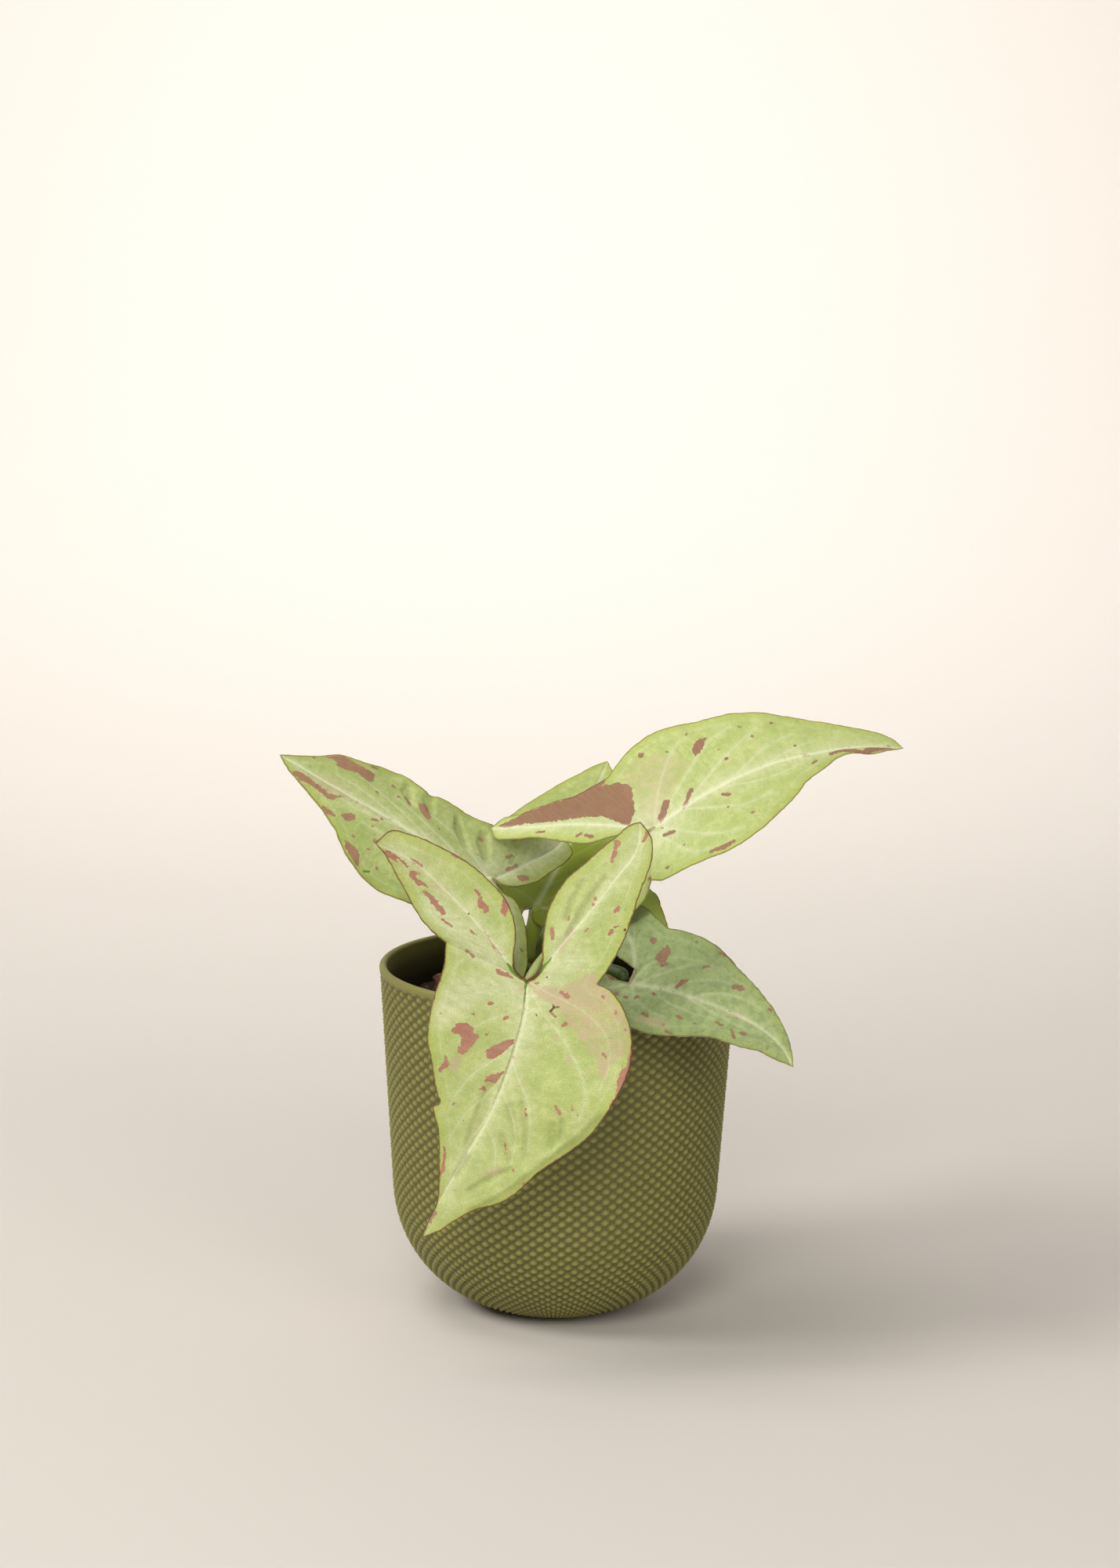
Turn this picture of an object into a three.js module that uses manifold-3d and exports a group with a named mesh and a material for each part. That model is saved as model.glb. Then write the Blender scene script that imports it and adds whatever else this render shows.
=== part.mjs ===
import * as THREE from 'three';
import { mergeVertices } from 'three/addons/utils/BufferGeometryUtils.js';
import Module from 'manifold-3d';

// Arrowhead plant (Syngonium) in a round cover pot. Millimetres, +Z up, origin at the
// centre of the pot's flat underside. The big hanging leaf faces -Y.

const wasm = await Module();
wasm.setup();

// ---- driving dimensions ----
const POT = {
  rimRadius: 70,
  height: 137,
  wall: 2.9,
  bellyRadius: 64.3,
  bellyHeight: 47.7,
  footRadius: 24,
  footBulge: [42, 4],
  bellyBulge: [62.5, 20],
  floor: 4,
  segments: 64,
};
// Clearances between a piece and what it grows from or rests in.
const SEAT_GAP = 0.3;
const BLADE_GAP = 0.35;
const SOIL = { level: 118, relief: 0.9, mound: 1.5, moundReach: 16, rings: 7, segments: 48 };
const STEM = {
  path: [[-11, -3.5, 101.5], [-11.4, -2.5, 116], [-11.9, -1, 128], [-12.3, 0, 137.5]],
  radii: [3.9, 3.3],
  sides: 14,
  rings: 8,
};
// Grid of each blade: rows along the midrib and along a lobe's rib, columns out to a margin.
const BLADE = { thickness: 0.8, rows: 14, lobeRows: 9, columns: 5, innerColumns: 3 };
const PETIOLE = { sides: 10, rings: 22 };
const CHIP = { size: [12, 7.5], thickness: 2.2, at: [-44.5, 30], turn: 20, lean: 24, lift: 0.2 };

const GREEN = '#8fa352';
const STALK_GREEN = '#7f9440';

// Each leaf lies in its own plane first: x across, y along the midrib, stalk joint at 0,0.
// heading, rise and roll turn that plane; droop and lobeDroop bend it, in radians per 100 mm.
const LEAVES = {
  front: {
    at: [-11.7, -82, 149],
    heading: 236,
    rise: -64,
    roll: -48,
    droop: 0.22,
    lobeDroop: 0.1,
    fold: 6,
    wave: { height: 0.7, length: 38, phase: 0.6 },
    midrib: [[0, 0], [-4.8, 16], [-6, 34], [-5.5, 53], [-2.5, 71], [0, 87], [1.5, 103.5]],
    plus: {
      rib: [[0, 0], [8, -3.4], [18, -9], [29.5, -15], [41, -20], [55, -25], [70.5, -26]],
      inner: [[0, 0], [5, -2.5], [7.5, -6.5], [9.8, -14], [16, -23], [28, -30], [43, -33.5],
        [60, -33.8], [67, -32], [70.5, -26]],
      outer: [[33, -2], [40, -4.3], [47, -8], [55, -14.6], [65, -22.6], [70.5, -26]],
      edge: [[33, -2], [30, 6.5], [29.7, 16], [26.7, 31], [20.5, 42], [14, 52], [10.4, 62],
        [5.7, 74], [2.3, 87], [1.5, 103.5]],
    },
    minus: {
      rib: [[0, 0], [-3.8, -7.3], [-7, -17], [-11.5, -30], [-16, -46], [-19.5, -60], [-17, -70.5]],
      inner: [[0, 0], [-2.5, -3.5], [-2.4, -9], [0, -16], [2.6, -28], [1.3, -38.5], [-5, -52],
        [-11.5, -63], [-17, -70.5]],
      outer: [[-25, -8.7], [-26.5, -14], [-28, -26], [-27, -45], [-26, -60], [-22.5, -67],
        [-17, -70.5]],
      edge: [[-25, -8.7], [-29, -8.8], [-35, -6], [-42, 1], [-46.5, 10], [-47.8, 18], [-46.5, 32],
        [-42, 47], [-33.5, 61], [-24, 76.5], [-17.5, 83], [-10, 89], [-4.5, 97], [1.5, 103.5]],
    },
    stalk: {
      path: [[-11.6, -2, 125.5], [-10.4, -8.8, 132], [-4, -20, 143], [3, -38, 155], [4, -56, 162],
        [0, -68, 161], [-7, -77, 154.5], [-12.6, -80.4, 145.7]],
      radii: [2.6, 1.7],
    },
  },
  upper_right: {
    at: [36, -16, 194.5],
    heading: 84,
    rise: 34,
    roll: 32,
    droop: 0.66,
    lobeDroop: 0.2,
    fold: 6,
    wave: { height: 0.9, length: 36, phase: 2.2 },
    midrib: [[0, 0], [-1.5, 19.5], [-2.5, 37], [-2.6, 54], [-1.2, 71], [0, 89], [3.7, 107]],
    plus: {
      rib: [[0, 0], [8, -7], [16, -16], [23, -26], [29, -37]],
      inner: [[0, 0], [2, -5], [4, -13], [9, -23], [17, -32], [29, -37]],
      outer: [[24.8, -11.8], [28.5, -14.7], [31.6, -18.6], [33, -24], [32.5, -31], [29, -37]],
      edge: [[24.8, -11.8], [28.3, -8.4], [30.2, -2], [31, 8], [32.7, 22], [32, 34],
        [25, 45.2], [16, 57], [10.5, 65.5], [4.2, 77], [1.9, 83.7], [5.4, 90], [4.6, 98],
        [3.7, 107]],
    },
    minus: {
      rib: [[0, 0], [-10, -10], [-20, -20], [-30, -31], [-39, -43], [-46.5, -53]],
      inner: [[0, 0], [-3.5, -4.5], [-6.9, -11], [-12.3, -24.5], [-18.7, -30.6], [-25.6, -36],
        [-31, -41], [-36.4, -49], [-41.4, -53.6], [-46.5, -53]],
      outer: [[-34.1, -4.4], [-33.9, -9.8], [-34.8, -18], [-39.5, -26.2], [-43.4, -33.5],
        [-44.8, -40], [-47, -46], [-46.5, -53]],
      edge: [[-34.1, -4.4], [-36.5, 2], [-38, 9.5], [-38.3, 17], [-36.8, 34], [-34.1, 45.2],
        [-30.5, 55.1], [-25, 65.5], [-20.3, 75], [-14.9, 84.4], [-10.6, 92], [-6.2, 99.7],
        [-1.6, 105.2], [3.7, 107]],
    },
    stalk: {
      path: [[-12, 0.2, 131], [-8, -2.5, 135], [-6, -6, 142], [-5, -10.5, 150], [-1, -16, 156.5],
        [6, -19, 162], [15, -19, 170], [26, -16, 181], [32.8, -14.5, 188.5], [39.4, -14.4, 194.5]],
      radii: [2.7, 1.8],
    },
  },
  upper_left: {
    at: [-25.8, -5, 171.1],
    heading: 268,
    rise: 31,
    roll: -30,
    droop: 0.1,
    lobeDroop: 0.3,
    fold: -5,
    wave: { height: 0.9, length: 34, phase: 1.2 },
    midrib: [[0, 0], [-1.9, 12], [-0.8, 26], [0.5, 43], [1, 58], [1.8, 73], [4.1, 95.7]],
    plus: {
      rib: [[0, 0], [11, -5.5], [23, -11], [35, -16.5], [44, -20], [52, -22]],
      inner: [[0, 0], [-0.2, -4.2], [2.2, -8.2], [7.7, -12.9], [15.1, -17.1], [25.6, -21],
        [36.6, -25.3], [44.8, -26.5], [52, -22]],
      outer: [[29, -2], [35.5, -4.5], [43, -9.5], [49.5, -16], [52, -22]],
      edge: [[29, -2], [30.8, 8.8], [29.5, 20], [29, 30], [26.8, 39], [29.4, 45], [30.6, 49.5],
        [26.5, 59.7], [23.7, 66], [22.2, 73.2], [17.7, 78.5], [11.8, 84.7], [7.2, 91],
        [4.1, 95.7]],
    },
    minus: {
      rib: [[0, 0], [-11, -8], [-22, -14], [-33, -18], [-44, -21.5]],
      inner: [[0, 0], [-3.2, -5], [-3.5, -11], [-6.7, -14.9], [-15.8, -21], [-24.6, -24.8],
        [-31.5, -27], [-38.5, -26.5], [-44, -21.5]],
      outer: [[-30.5, -4], [-35, -6], [-40, -10], [-43.6, -15.5], [-44, -21.5]],
      edge: [[-30.5, -4], [-31.5, 5], [-33.4, 16], [-35.6, 28], [-35.2, 36], [-33, 43.6],
        [-30.2, 50.4], [-25.7, 56.8], [-17.2, 64.6], [-10.2, 74.7], [-7.7, 80.4], [-3.9, 86.5],
        [-0.7, 91.5], [4.1, 95.7]],
    },
    stalk: {
      path: [[-12, -0.8, 129.5], [-16.5, -3.5, 137], [-18.5, -4.5, 149], [-21.5, -3.5, 159],
        [-24.4, -3.2, 166.3], [-29.4, -3.9, 170.4]],
      radii: [2.5, 1.7],
    },
  },
  back: {
    at: [-9.4, 20, 155.3],
    heading: 18,
    rise: 21,
    roll: 1,
    droop: -0.25,
    lobeDroop: 0.3,
    fold: 3,
    wave: { height: 0.7, length: 36, phase: 0 },
    midrib: [[0, 0], [1, 50], [2.4, 96]],
    plus: {
      rib: [[0, 0], [14, -3], [30, -7], [45, -11], [61, -17]],
      inner: [[0, 0], [3.2, -2], [6.5, -6.1], [14, -10.5], [28, -14.5], [44, -18], [54, -19.5],
        [61, -17]],
      outer: [[42, 17], [46.9, 10.8], [52.8, 0.5], [58.6, -10], [61, -17]],
      edge: [[42, 17], [40.5, 28], [36, 43], [29, 58], [20, 72], [11, 84], [2.4, 96]],
    },
    minus: {
      rib: [[0, 0], [-7, -8], [-13, -17], [-18, -26], [-22, -36]],
      inner: [[0, 0], [-3.2, -1], [-3.2, -6], [-3.6, -13], [-6, -22], [-11, -31], [-16, -36.5],
        [-22, -36]],
      outer: [[-38, 6], [-38, -3], [-35, -12], [-30, -24], [-27, -31], [-22, -36]],
      edge: [[-38, 6], [-38.5, 18], [-37, 32], [-32, 46], [-26, 57], [-18.9, 67.3], [-13.8, 76.6],
        [-5.6, 86.8], [2.4, 96]],
    },
    stalk: {
      path: [[-12.3, 0.3, 136], [-11.8, 4, 142], [-9.9, 12, 148.5], [-8.3, 23.6, 153.8]],
      radii: [2.75, 2.3],
    },
  },
  lower_right: {
    at: [26.7, -65, 144.9],
    heading: 116,
    rise: -12,
    roll: 38,
    droop: 0.45,
    lobeDroop: 1.2,
    fold: 5,
    wave: { height: 0.6, length: 30, phase: 0.9 },
    midrib: [[0, 0], [-3, 13.6], [-4, 25], [-5, 41], [-4.2, 54], [-1.4, 63], [3.9, 70.3]],
    plus: {
      rib: [[0, 0], [5, -6], [9, -15], [12, -26]],
      inner: [[0, 0], [0.4, -5], [-0.6, -10], [1.5, -18], [6, -24], [12, -26]],
      outer: [[18.3, 2], [18.5, -5], [18, -13], [16, -21], [12, -26]],
      edge: [[18.3, 2], [19, 10], [18.3, 18.7], [14.2, 28.3], [8.9, 38.2], [7.3, 48], [5.2, 55],
        [4.6, 64], [3.9, 70.3]],
    },
    minus: {
      rib: [[0, 0], [-9, -2.5], [-17, -8], [-22, -15.5], [-25, -25]],
      inner: [[0, 0], [-5.5, -0.7], [-7, -4], [-9.1, -9.4], [-13, -17], [-18, -23], [-25, -25]],
      outer: [[-27.1, 2.5], [-29, -4], [-31, -10], [-31, -17], [-29, -22.5], [-25, -25]],
      edge: [[-27.1, 2.5], [-28.7, 12], [-26.8, 22.3], [-22.7, 33.2], [-18.1, 44.5],
        [-11.2, 56.8], [-5.7, 63.3], [-0.6, 67.8], [3.9, 70.3]],
    },
    stalk: {
      path: [[-11.4, -2.4, 121], [-4.8, -8.2, 125], [3.5, -23, 135], [10, -42, 144],
        [16.1, -54.2, 146.7], [22.6, -58.3, 146.2], [26.7, -60.9, 145.2]],
      radii: [2.9, 2.1],
    },
  },
};

// ---- meshes ----
function material(name, color, roughness) {
  return new THREE.MeshStandardMaterial({ name, color, roughness, metalness: 0 });
}

function meshFrom(positions, triangles) {
  const geometry = new THREE.BufferGeometry();
  geometry.setAttribute('position', new THREE.Float32BufferAttribute(positions, 3));
  geometry.setIndex(triangles);
  return geometry;
}

function toManifold(geometry) {
  const bare = geometry.clone();
  bare.deleteAttribute('normal');
  bare.deleteAttribute('uv');
  const merged = mergeVertices(bare, 1e-4);
  return new wasm.Manifold(new wasm.Mesh({
    numProp: 3,
    vertProperties: new Float32Array(merged.attributes.position.array),
    triVerts: new Uint32Array(merged.index.array),
  }));
}

function fromManifold(solid) {
  const parts = solid.decompose();
  parts.sort((a, b) => b.volume() - a.volume());
  const mesh = parts[0].getMesh();
  return meshFrom(Array.from(mesh.vertProperties), Array.from(mesh.triVerts));
}

// Smooth curve through key points, cut into equal lengths.
function spaced(points, count) {
  const curve = new THREE.CatmullRomCurve3(
    points.map(([x, y, z = 0]) => new THREE.Vector3(x, y, z)), false, 'centripetal');
  return curve.getSpacedPoints(count);
}

// Surface of revolution with a closed profile that starts and ends on the axis.
function revolve(profile, segments) {
  return new THREE.LatheGeometry(profile.map(([r, z]) => new THREE.Vector2(r, z)), segments)
    .rotateX(Math.PI / 2);
}

// Round tapered rod along a path, with flat capped ends.
function rod(path, radii, sides, rings, grow = 0) {
  const points = spaced(path, rings);
  const positions = [];
  const triangles = [];
  let across = new THREE.Vector3(1, 0, 0);
  points.forEach((point, i) => {
    const ahead = points[Math.min(i + 1, rings)].clone().sub(points[Math.max(i - 1, 0)]).normalize();
    across = across.clone().addScaledVector(ahead, -across.dot(ahead)).normalize();
    const up = ahead.clone().cross(across);
    const radius = THREE.MathUtils.lerp(radii[0], radii[1], i / rings) + grow;
    for (let k = 0; k < sides; k += 1) {
      const turn = (k / sides) * Math.PI * 2;
      const p = point.clone().addScaledVector(across, Math.cos(turn) * radius)
        .addScaledVector(up, Math.sin(turn) * radius);
      positions.push(p.x, p.y, p.z);
    }
  });
  for (let i = 0; i < rings; i += 1) {
    for (let k = 0; k < sides; k += 1) {
      const a = i * sides + k;
      const b = i * sides + ((k + 1) % sides);
      triangles.push(a, b, b + sides, a, b + sides, a + sides);
    }
  }
  for (const [ring, flip] of [[0, true], [rings, false]]) {
    const centre = positions.length / 3;
    positions.push(points[ring].x, points[ring].y, points[ring].z);
    for (let k = 0; k < sides; k += 1) {
      const a = ring * sides + k;
      const b = ring * sides + ((k + 1) % sides);
      triangles.push(...(flip ? [centre, b, a] : [centre, a, b]));
    }
  }
  return meshFrom(positions, triangles);
}

// The stem with a clearance all round it, ends too.
function stemRoom() {
  const ends = [STEM.path, STEM.path.slice().reverse()].map(([tip, next]) => {
    const end = new THREE.Vector3(...tip);
    const outward = end.clone().sub(new THREE.Vector3(...next)).normalize();
    return end.addScaledVector(outward, SEAT_GAP).toArray();
  });
  const path = [ends[0], ...STEM.path.slice(1, -1), ends[1]];
  return toManifold(rod(path, STEM.radii, STEM.sides, STEM.rings, SEAT_GAP));
}

// ---- pot and soil ----
// The curved underside from the flat foot to the straight wall, moved in by offset and up by lift.
function bellyCurve(offset, lift, steps) {
  const start = new THREE.Vector2(POT.footRadius - offset * 0.6, lift);
  const end = new THREE.Vector2(POT.bellyRadius - offset, POT.bellyHeight + lift * 0.4);
  const [footX, footY] = POT.footBulge;
  const [bellyX, bellyY] = POT.bellyBulge;
  const curve = new THREE.CubicBezierCurve(start, new THREE.Vector2(footX - offset * 0.6, footY + lift),
    new THREE.Vector2(bellyX - offset, bellyY + lift * 0.7), end);
  return curve.getPoints(steps).map((p) => [p.x, p.y]);
}

function potShape() {
  const lip = POT.wall / 2;
  const lipSteps = 4;
  const profile = [[0, 0], ...bellyCurve(0, 0, 9)];
  for (let i = 0; i <= lipSteps; i += 1) {
    const turn = (i / lipSteps) * Math.PI;
    profile.push([POT.rimRadius - lip + Math.cos(turn) * lip,
      POT.height - lip + Math.sin(turn) * lip]);
  }
  profile.push(...bellyCurve(POT.wall, POT.floor, 6).reverse(), [0, POT.floor]);
  return revolve(profile, POT.segments);
}

function soilHeight(x, y) {
  const ripple = Math.sin(x * 0.21 + 0.8) * Math.cos(y * 0.17 - 0.4) + Math.sin(x * 0.09 - y * 0.13);
  const [stemX, stemY] = STEM.path[1];
  const fromStem = Math.hypot(x - stemX, y - stemY);
  return SOIL.level + SOIL.relief * ripple
    + SOIL.mound * Math.exp(-((fromStem / SOIL.moundReach) ** 2));
}

function wallInside(z) {
  const slope = (POT.rimRadius - POT.bellyRadius) / (POT.height - POT.bellyHeight);
  return POT.rimRadius - POT.wall - slope * (POT.height - z);
}

// Soil filling the pot, uneven on top, with a plain hole for the stem.
function soilShape() {
  const side = bellyCurve(POT.wall + SEAT_GAP, POT.floor + SEAT_GAP, 6);
  const edge = [wallInside(SOIL.level) - SEAT_GAP, SOIL.level];
  const profile = [[0, POT.floor + SEAT_GAP], ...side, edge];
  for (let i = 1; i < SOIL.rings; i += 1) {
    profile.push([edge[0] * (1 - i / SOIL.rings), SOIL.level]);
  }
  profile.push([0, SOIL.level]);
  const shape = revolve(profile, SOIL.segments);
  const place = shape.attributes.position;
  for (let i = 0; i < place.count; i += 1) {
    if (place.getZ(i) > SOIL.level - 1) {
      place.setZ(i, soilHeight(place.getX(i), place.getY(i)));
    }
  }
  return fromManifold(toManifold(shape).subtract(stemRoom()));
}

// A flat flake of bark, lying aslant on the soil.
function chipShape() {
  const [width, height] = CHIP.size;
  const outline = new THREE.Shape();
  outline.moveTo(-width / 2, 0);
  outline.lineTo(width / 2, 0.6);
  outline.quadraticCurveTo(width * 0.55, height * 0.5, width * 0.3, height * 0.86);
  outline.quadraticCurveTo(-width * 0.1, height * 1.02, -width * 0.42, height * 0.78);
  outline.quadraticCurveTo(-width * 0.3, height * 0.4, -width / 2, 0);
  const [x, y] = CHIP.at;
  return new THREE.ExtrudeGeometry(outline, {
    depth: CHIP.thickness, bevelEnabled: false, curveSegments: 4,
  }).translate(0, 0, -CHIP.thickness / 2).rotateX(Math.PI / 2)
    .rotateX(-CHIP.lean * Math.PI / 180).rotateZ(CHIP.turn * Math.PI / 180)
    .translate(x, y, SOIL.level + CHIP.lift);
}

// ---- leaves ----
function frameOf(leaf) {
  const [heading, rise, roll] = [leaf.heading, leaf.rise, leaf.roll].map(THREE.MathUtils.degToRad);
  const along = new THREE.Vector3(Math.sin(heading) * Math.cos(rise),
    Math.cos(heading) * Math.cos(rise), Math.sin(rise));
  const up = new THREE.Vector3(0, 0, 1).addScaledVector(along, -along.z).normalize();
  const side = along.clone().cross(up);
  const face = up.multiplyScalar(Math.cos(roll)).addScaledVector(side, Math.sin(roll));
  return { at: new THREE.Vector3(...leaf.at), along, face, across: along.clone().cross(face) };
}

// A point of the bent blade, lifted off its middle surface.
function bladePoint(leaf, frame, x, y, lift) {
  const bend = (y >= 0 ? leaf.droop : leaf.lobeDroop) / 100;
  const angle = bend * y;
  const { height, length, phase } = leaf.wave;
  const side = x > 0 ? 0 : 2;
  const wave = height * Math.sin((y / length) * Math.PI * 2 + phase + side) * (x / 30) ** 2;
  const fold = Math.tan(leaf.fold * Math.PI / 180) * (Math.hypot(x, 3) - 3);
  const h = fold + wave + lift;
  return frame.at.clone().addScaledVector(frame.across, x)
    .addScaledVector(frame.along, Math.sin(angle) / bend + Math.sin(angle) * h)
    .addScaledVector(frame.face, Math.cos(angle) * h - (1 - Math.cos(angle)) / bend);
}

// Rows of points between a spine curve and a margin curve.
function rowsBetween(spine, margin, rows, columns) {
  const inner = spaced(spine, rows);
  const outer = spaced(margin, rows);
  return inner.map((from, i) => Array.from({ length: columns + 1 }, (_, k) => {
    const p = from.clone().lerp(outer[i], k / columns);
    return [p.x, p.y];
  }));
}

function bladeGrid(leaf) {
  const points = [];
  const found = new Map();
  const triangles = [];
  const index = ([x, y]) => {
    const key = `${x.toFixed(3)},${y.toFixed(3)}`;
    if (!found.has(key)) {
      found.set(key, points.length);
      points.push([x, y]);
    }
    return found.get(key);
  };
  const add = (rows, flip) => {
    for (let i = 0; i + 1 < rows.length; i += 1) {
      for (let k = 0; k + 1 < rows[i].length; k += 1) {
        const [a, b] = [index(rows[i][k]), index(rows[i][k + 1])];
        const [c, d] = [index(rows[i + 1][k + 1]), index(rows[i + 1][k])];
        for (const face of [[a, b, c], [a, c, d]]) {
          if (new Set(face).size === 3) triangles.push(flip ? face.reverse() : face);
        }
      }
    }
  };
  const { rows, lobeRows, columns, innerColumns } = BLADE;
  for (const [half, flip] of [[leaf.plus, false], [leaf.minus, true]]) {
    add(rowsBetween(leaf.midrib, half.edge, rows, columns), flip);
    add(rowsBetween(half.rib, half.outer, lobeRows, columns), !flip);
    add(rowsBetween(half.rib, half.inner, lobeRows, innerColumns), flip);
  }
  return { points, triangles };
}

// The blade as a closed sheet, both faces split into the same triangles. Grow makes it
// larger all round, for cutting a clearance.
function bladeShape(leaf, grow = 0) {
  const frame = frameOf(leaf);
  const { points, triangles } = bladeGrid(leaf);
  const open = new Map();
  for (const [a, b, c] of triangles) {
    for (const [from, to] of [[a, b], [b, c], [c, a]]) {
      if (!open.delete(`${to},${from}`)) open.set(`${from},${to}`, [from, to]);
    }
  }
  const outward = points.map(() => new THREE.Vector2());
  for (const [from, to] of open.values()) {
    const edge = new THREE.Vector2(points[to][1] - points[from][1], points[from][0] - points[to][0]);
    edge.normalize();
    outward[from].add(edge);
    outward[to].add(edge);
  }
  const positions = [];
  const half = BLADE.thickness / 2 + grow;
  for (const lift of [half, -half]) {
    points.forEach(([x, y], i) => {
      const corner = Math.max(outward[i].lengthSq() / 2, 0.3);
      const shift = outward[i].clone().multiplyScalar(grow / corner);
      positions.push(...bladePoint(leaf, frame, x + shift.x, y + shift.y, lift).toArray());
    });
  }
  const under = points.length;
  const faces = [];
  for (const [a, b, c] of triangles) {
    faces.push(a, b, c, a + under, c + under, b + under);
  }
  for (const [from, to] of open.values()) {
    faces.push(from, from + under, to + under, from, to + under, to);
  }
  return meshFrom(positions, faces);
}

// A leaf stalk, cut back to a small gap from the crown and from the blade it carries.
function stalkShape(leaf) {
  const { path, radii } = leaf.stalk;
  const blade = toManifold(bladeShape(leaf, BLADE_GAP));
  const stalk = toManifold(rod(path, radii, PETIOLE.sides, PETIOLE.rings));
  return fromManifold(stalk.subtract(stemRoom()).subtract(blade));
}

// ---- assembly ----
const group = new THREE.Group();

function addPart(name, geometry, color, roughness) {
  const mesh = new THREE.Mesh(geometry, material(name, color, roughness));
  mesh.name = name;
  group.add(mesh);
}

addPart('pot', potShape(), '#74713f', 0.6);
addPart('soil', soilShape(), '#33261b', 0.95);
addPart('bark_chip', chipShape(), '#7a4a2a', 0.9);
addPart('stem', rod(STEM.path, STEM.radii, STEM.sides, STEM.rings), STALK_GREEN, 0.6);
for (const [name, leaf] of Object.entries(LEAVES)) {
  addPart(`petiole_${name}`, stalkShape(leaf), STALK_GREEN, 0.6);
  addPart(`leaf_${name}`, bladeShape(leaf), GREEN, 0.65);
}

export default group;
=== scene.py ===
"""Arrowhead plant with freckled pink leaves in a knurled round pot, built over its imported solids."""

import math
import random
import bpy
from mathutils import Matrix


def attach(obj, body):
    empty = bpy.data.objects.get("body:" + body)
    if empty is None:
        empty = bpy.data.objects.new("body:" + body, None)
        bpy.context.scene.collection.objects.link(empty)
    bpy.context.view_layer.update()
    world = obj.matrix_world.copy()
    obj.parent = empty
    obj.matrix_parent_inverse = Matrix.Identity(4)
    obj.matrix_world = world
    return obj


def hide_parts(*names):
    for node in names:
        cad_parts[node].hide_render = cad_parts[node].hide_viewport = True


bl_info = {
    "name": "Arrowhead Plant",
    "version": (1, 0, 0),
    "blender": (4, 5, 0),
    "location": "View3D > Sidebar > Plant",
    "description": "Builds a potted arrowhead plant from leaf outlines, veins and marks",
    "category": "Add Mesh",
}

from collections import namedtuple

import bmesh
import bpy
import numpy as np
from bpy.props import FloatProperty, FloatVectorProperty, IntProperty, PointerProperty
from mathutils import Matrix, Vector, kdtree, noise

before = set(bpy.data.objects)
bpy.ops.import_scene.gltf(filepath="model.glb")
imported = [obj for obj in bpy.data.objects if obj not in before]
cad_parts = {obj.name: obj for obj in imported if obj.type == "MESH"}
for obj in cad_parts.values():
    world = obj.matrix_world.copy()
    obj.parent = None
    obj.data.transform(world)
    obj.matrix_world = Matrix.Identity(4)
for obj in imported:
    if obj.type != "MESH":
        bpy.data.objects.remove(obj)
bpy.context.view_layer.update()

MM = 0.001
FAR = 9.0  # depth given to points well outside every stroke, millimetres
WELD = 0.004  # a blade's points closer than this are one, millimetres
MAP_SIZE = 250  # a blade's flat map is this many millimetres to one unit
COARSER = 1

# ---- driving dimensions, millimetres ----
POT = {
    "rim_radius": 70,
    "height": 137,
    "wall": 2.9,
    "belly_radius": 64.3,
    "belly_height": 47.7,
    "foot_radius": 24,
    "foot_bulge": (42, 4),
    "belly_bulge": (62.5, 20),
    "floor": 4,
}
BUMP_STEPS = 6  # faces round one bump
ROW_STEPS = 5.5  # faces up one row of bumps
BUMP_POWER = 1.1  # how fast a bump falls off to its grooves
# Bump values also set the painted shade in the grooves and the painted highlight on the bump tops.
PLAIN = 0.6  # how pale the plain parts of the pot are, between a groove and the top of a bump
SOIL = {
    "level": 118,
    "relief": 0.9,
    "mound": 1.5,
    "mound_reach": 16,
    "crumb": 0.9,
    "crumb_size": 5,
    "gap": 0.3,
}
# Loose lumps of soil: their radii, the bare ring at the wall, and lift and dents as shares of a radius.
LUMPS = {"least": 0.7, "more": 2.1, "bare_edge": 2.2, "lift": 0.15, "dents": 0.3}
STEM = {
    "path": [(-11, -3.5, 101.5), (-11.4, -2.5, 116), (-11.9, -1, 128), (-12.3, 0, 137.5)],
    "radii": (3.9, 3.3),
}
CHIP = {"size": (12, 7.5), "thickness": 2.2, "at": (-44.5, 30), "turn": 20, "lean": 24, "lift": 0.2}

# Half widths of a blade's veins at their start and end, and of the hollows they lie in.
VEIN_WIDTHS = {
    "midrib": (0.5, 0.25),
    "rib": (0.4, 0.25),
    "side": (0.28, 0.28),
    "small": (0.25, 0.25),
    "midrib_hollow": (2.2, 1.0),
    "rib_hollow": (1.6, 1.6),
    "border": (0.4, 0.4),
}
BORDER_VEIN = 4.4  # how far in from the margin a faint vein runs round the blade
HALO = {"midrib": 4, "rib": 3, "side": 1.8, "joint": 15}  # how far the pale surround reaches
FOLD_ROUND = 3  # radius of the fold along the midrib
WAVE_REACH = 30  # distance from the midrib where the margin's wave has its given height
WAVE_SHIFT = 2  # how far the wave of the minus half runs ahead, radians
THINNING = 5  # a blade thins over this distance from its margin
VEINS_END = 2  # grooves and veins run out over this distance from the margin
WORN = {"shift": 0.26, "reach": 1.8, "fine": 1.7, "broad": 6}
# Length and width of the soft folds of a blade, and the seed of their noise.
FOLDS = {"main": (5.5, 17, 3.3), "lobe": (19, 4.2, 7.1), "broad": (13, 13, 5.7)}
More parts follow.
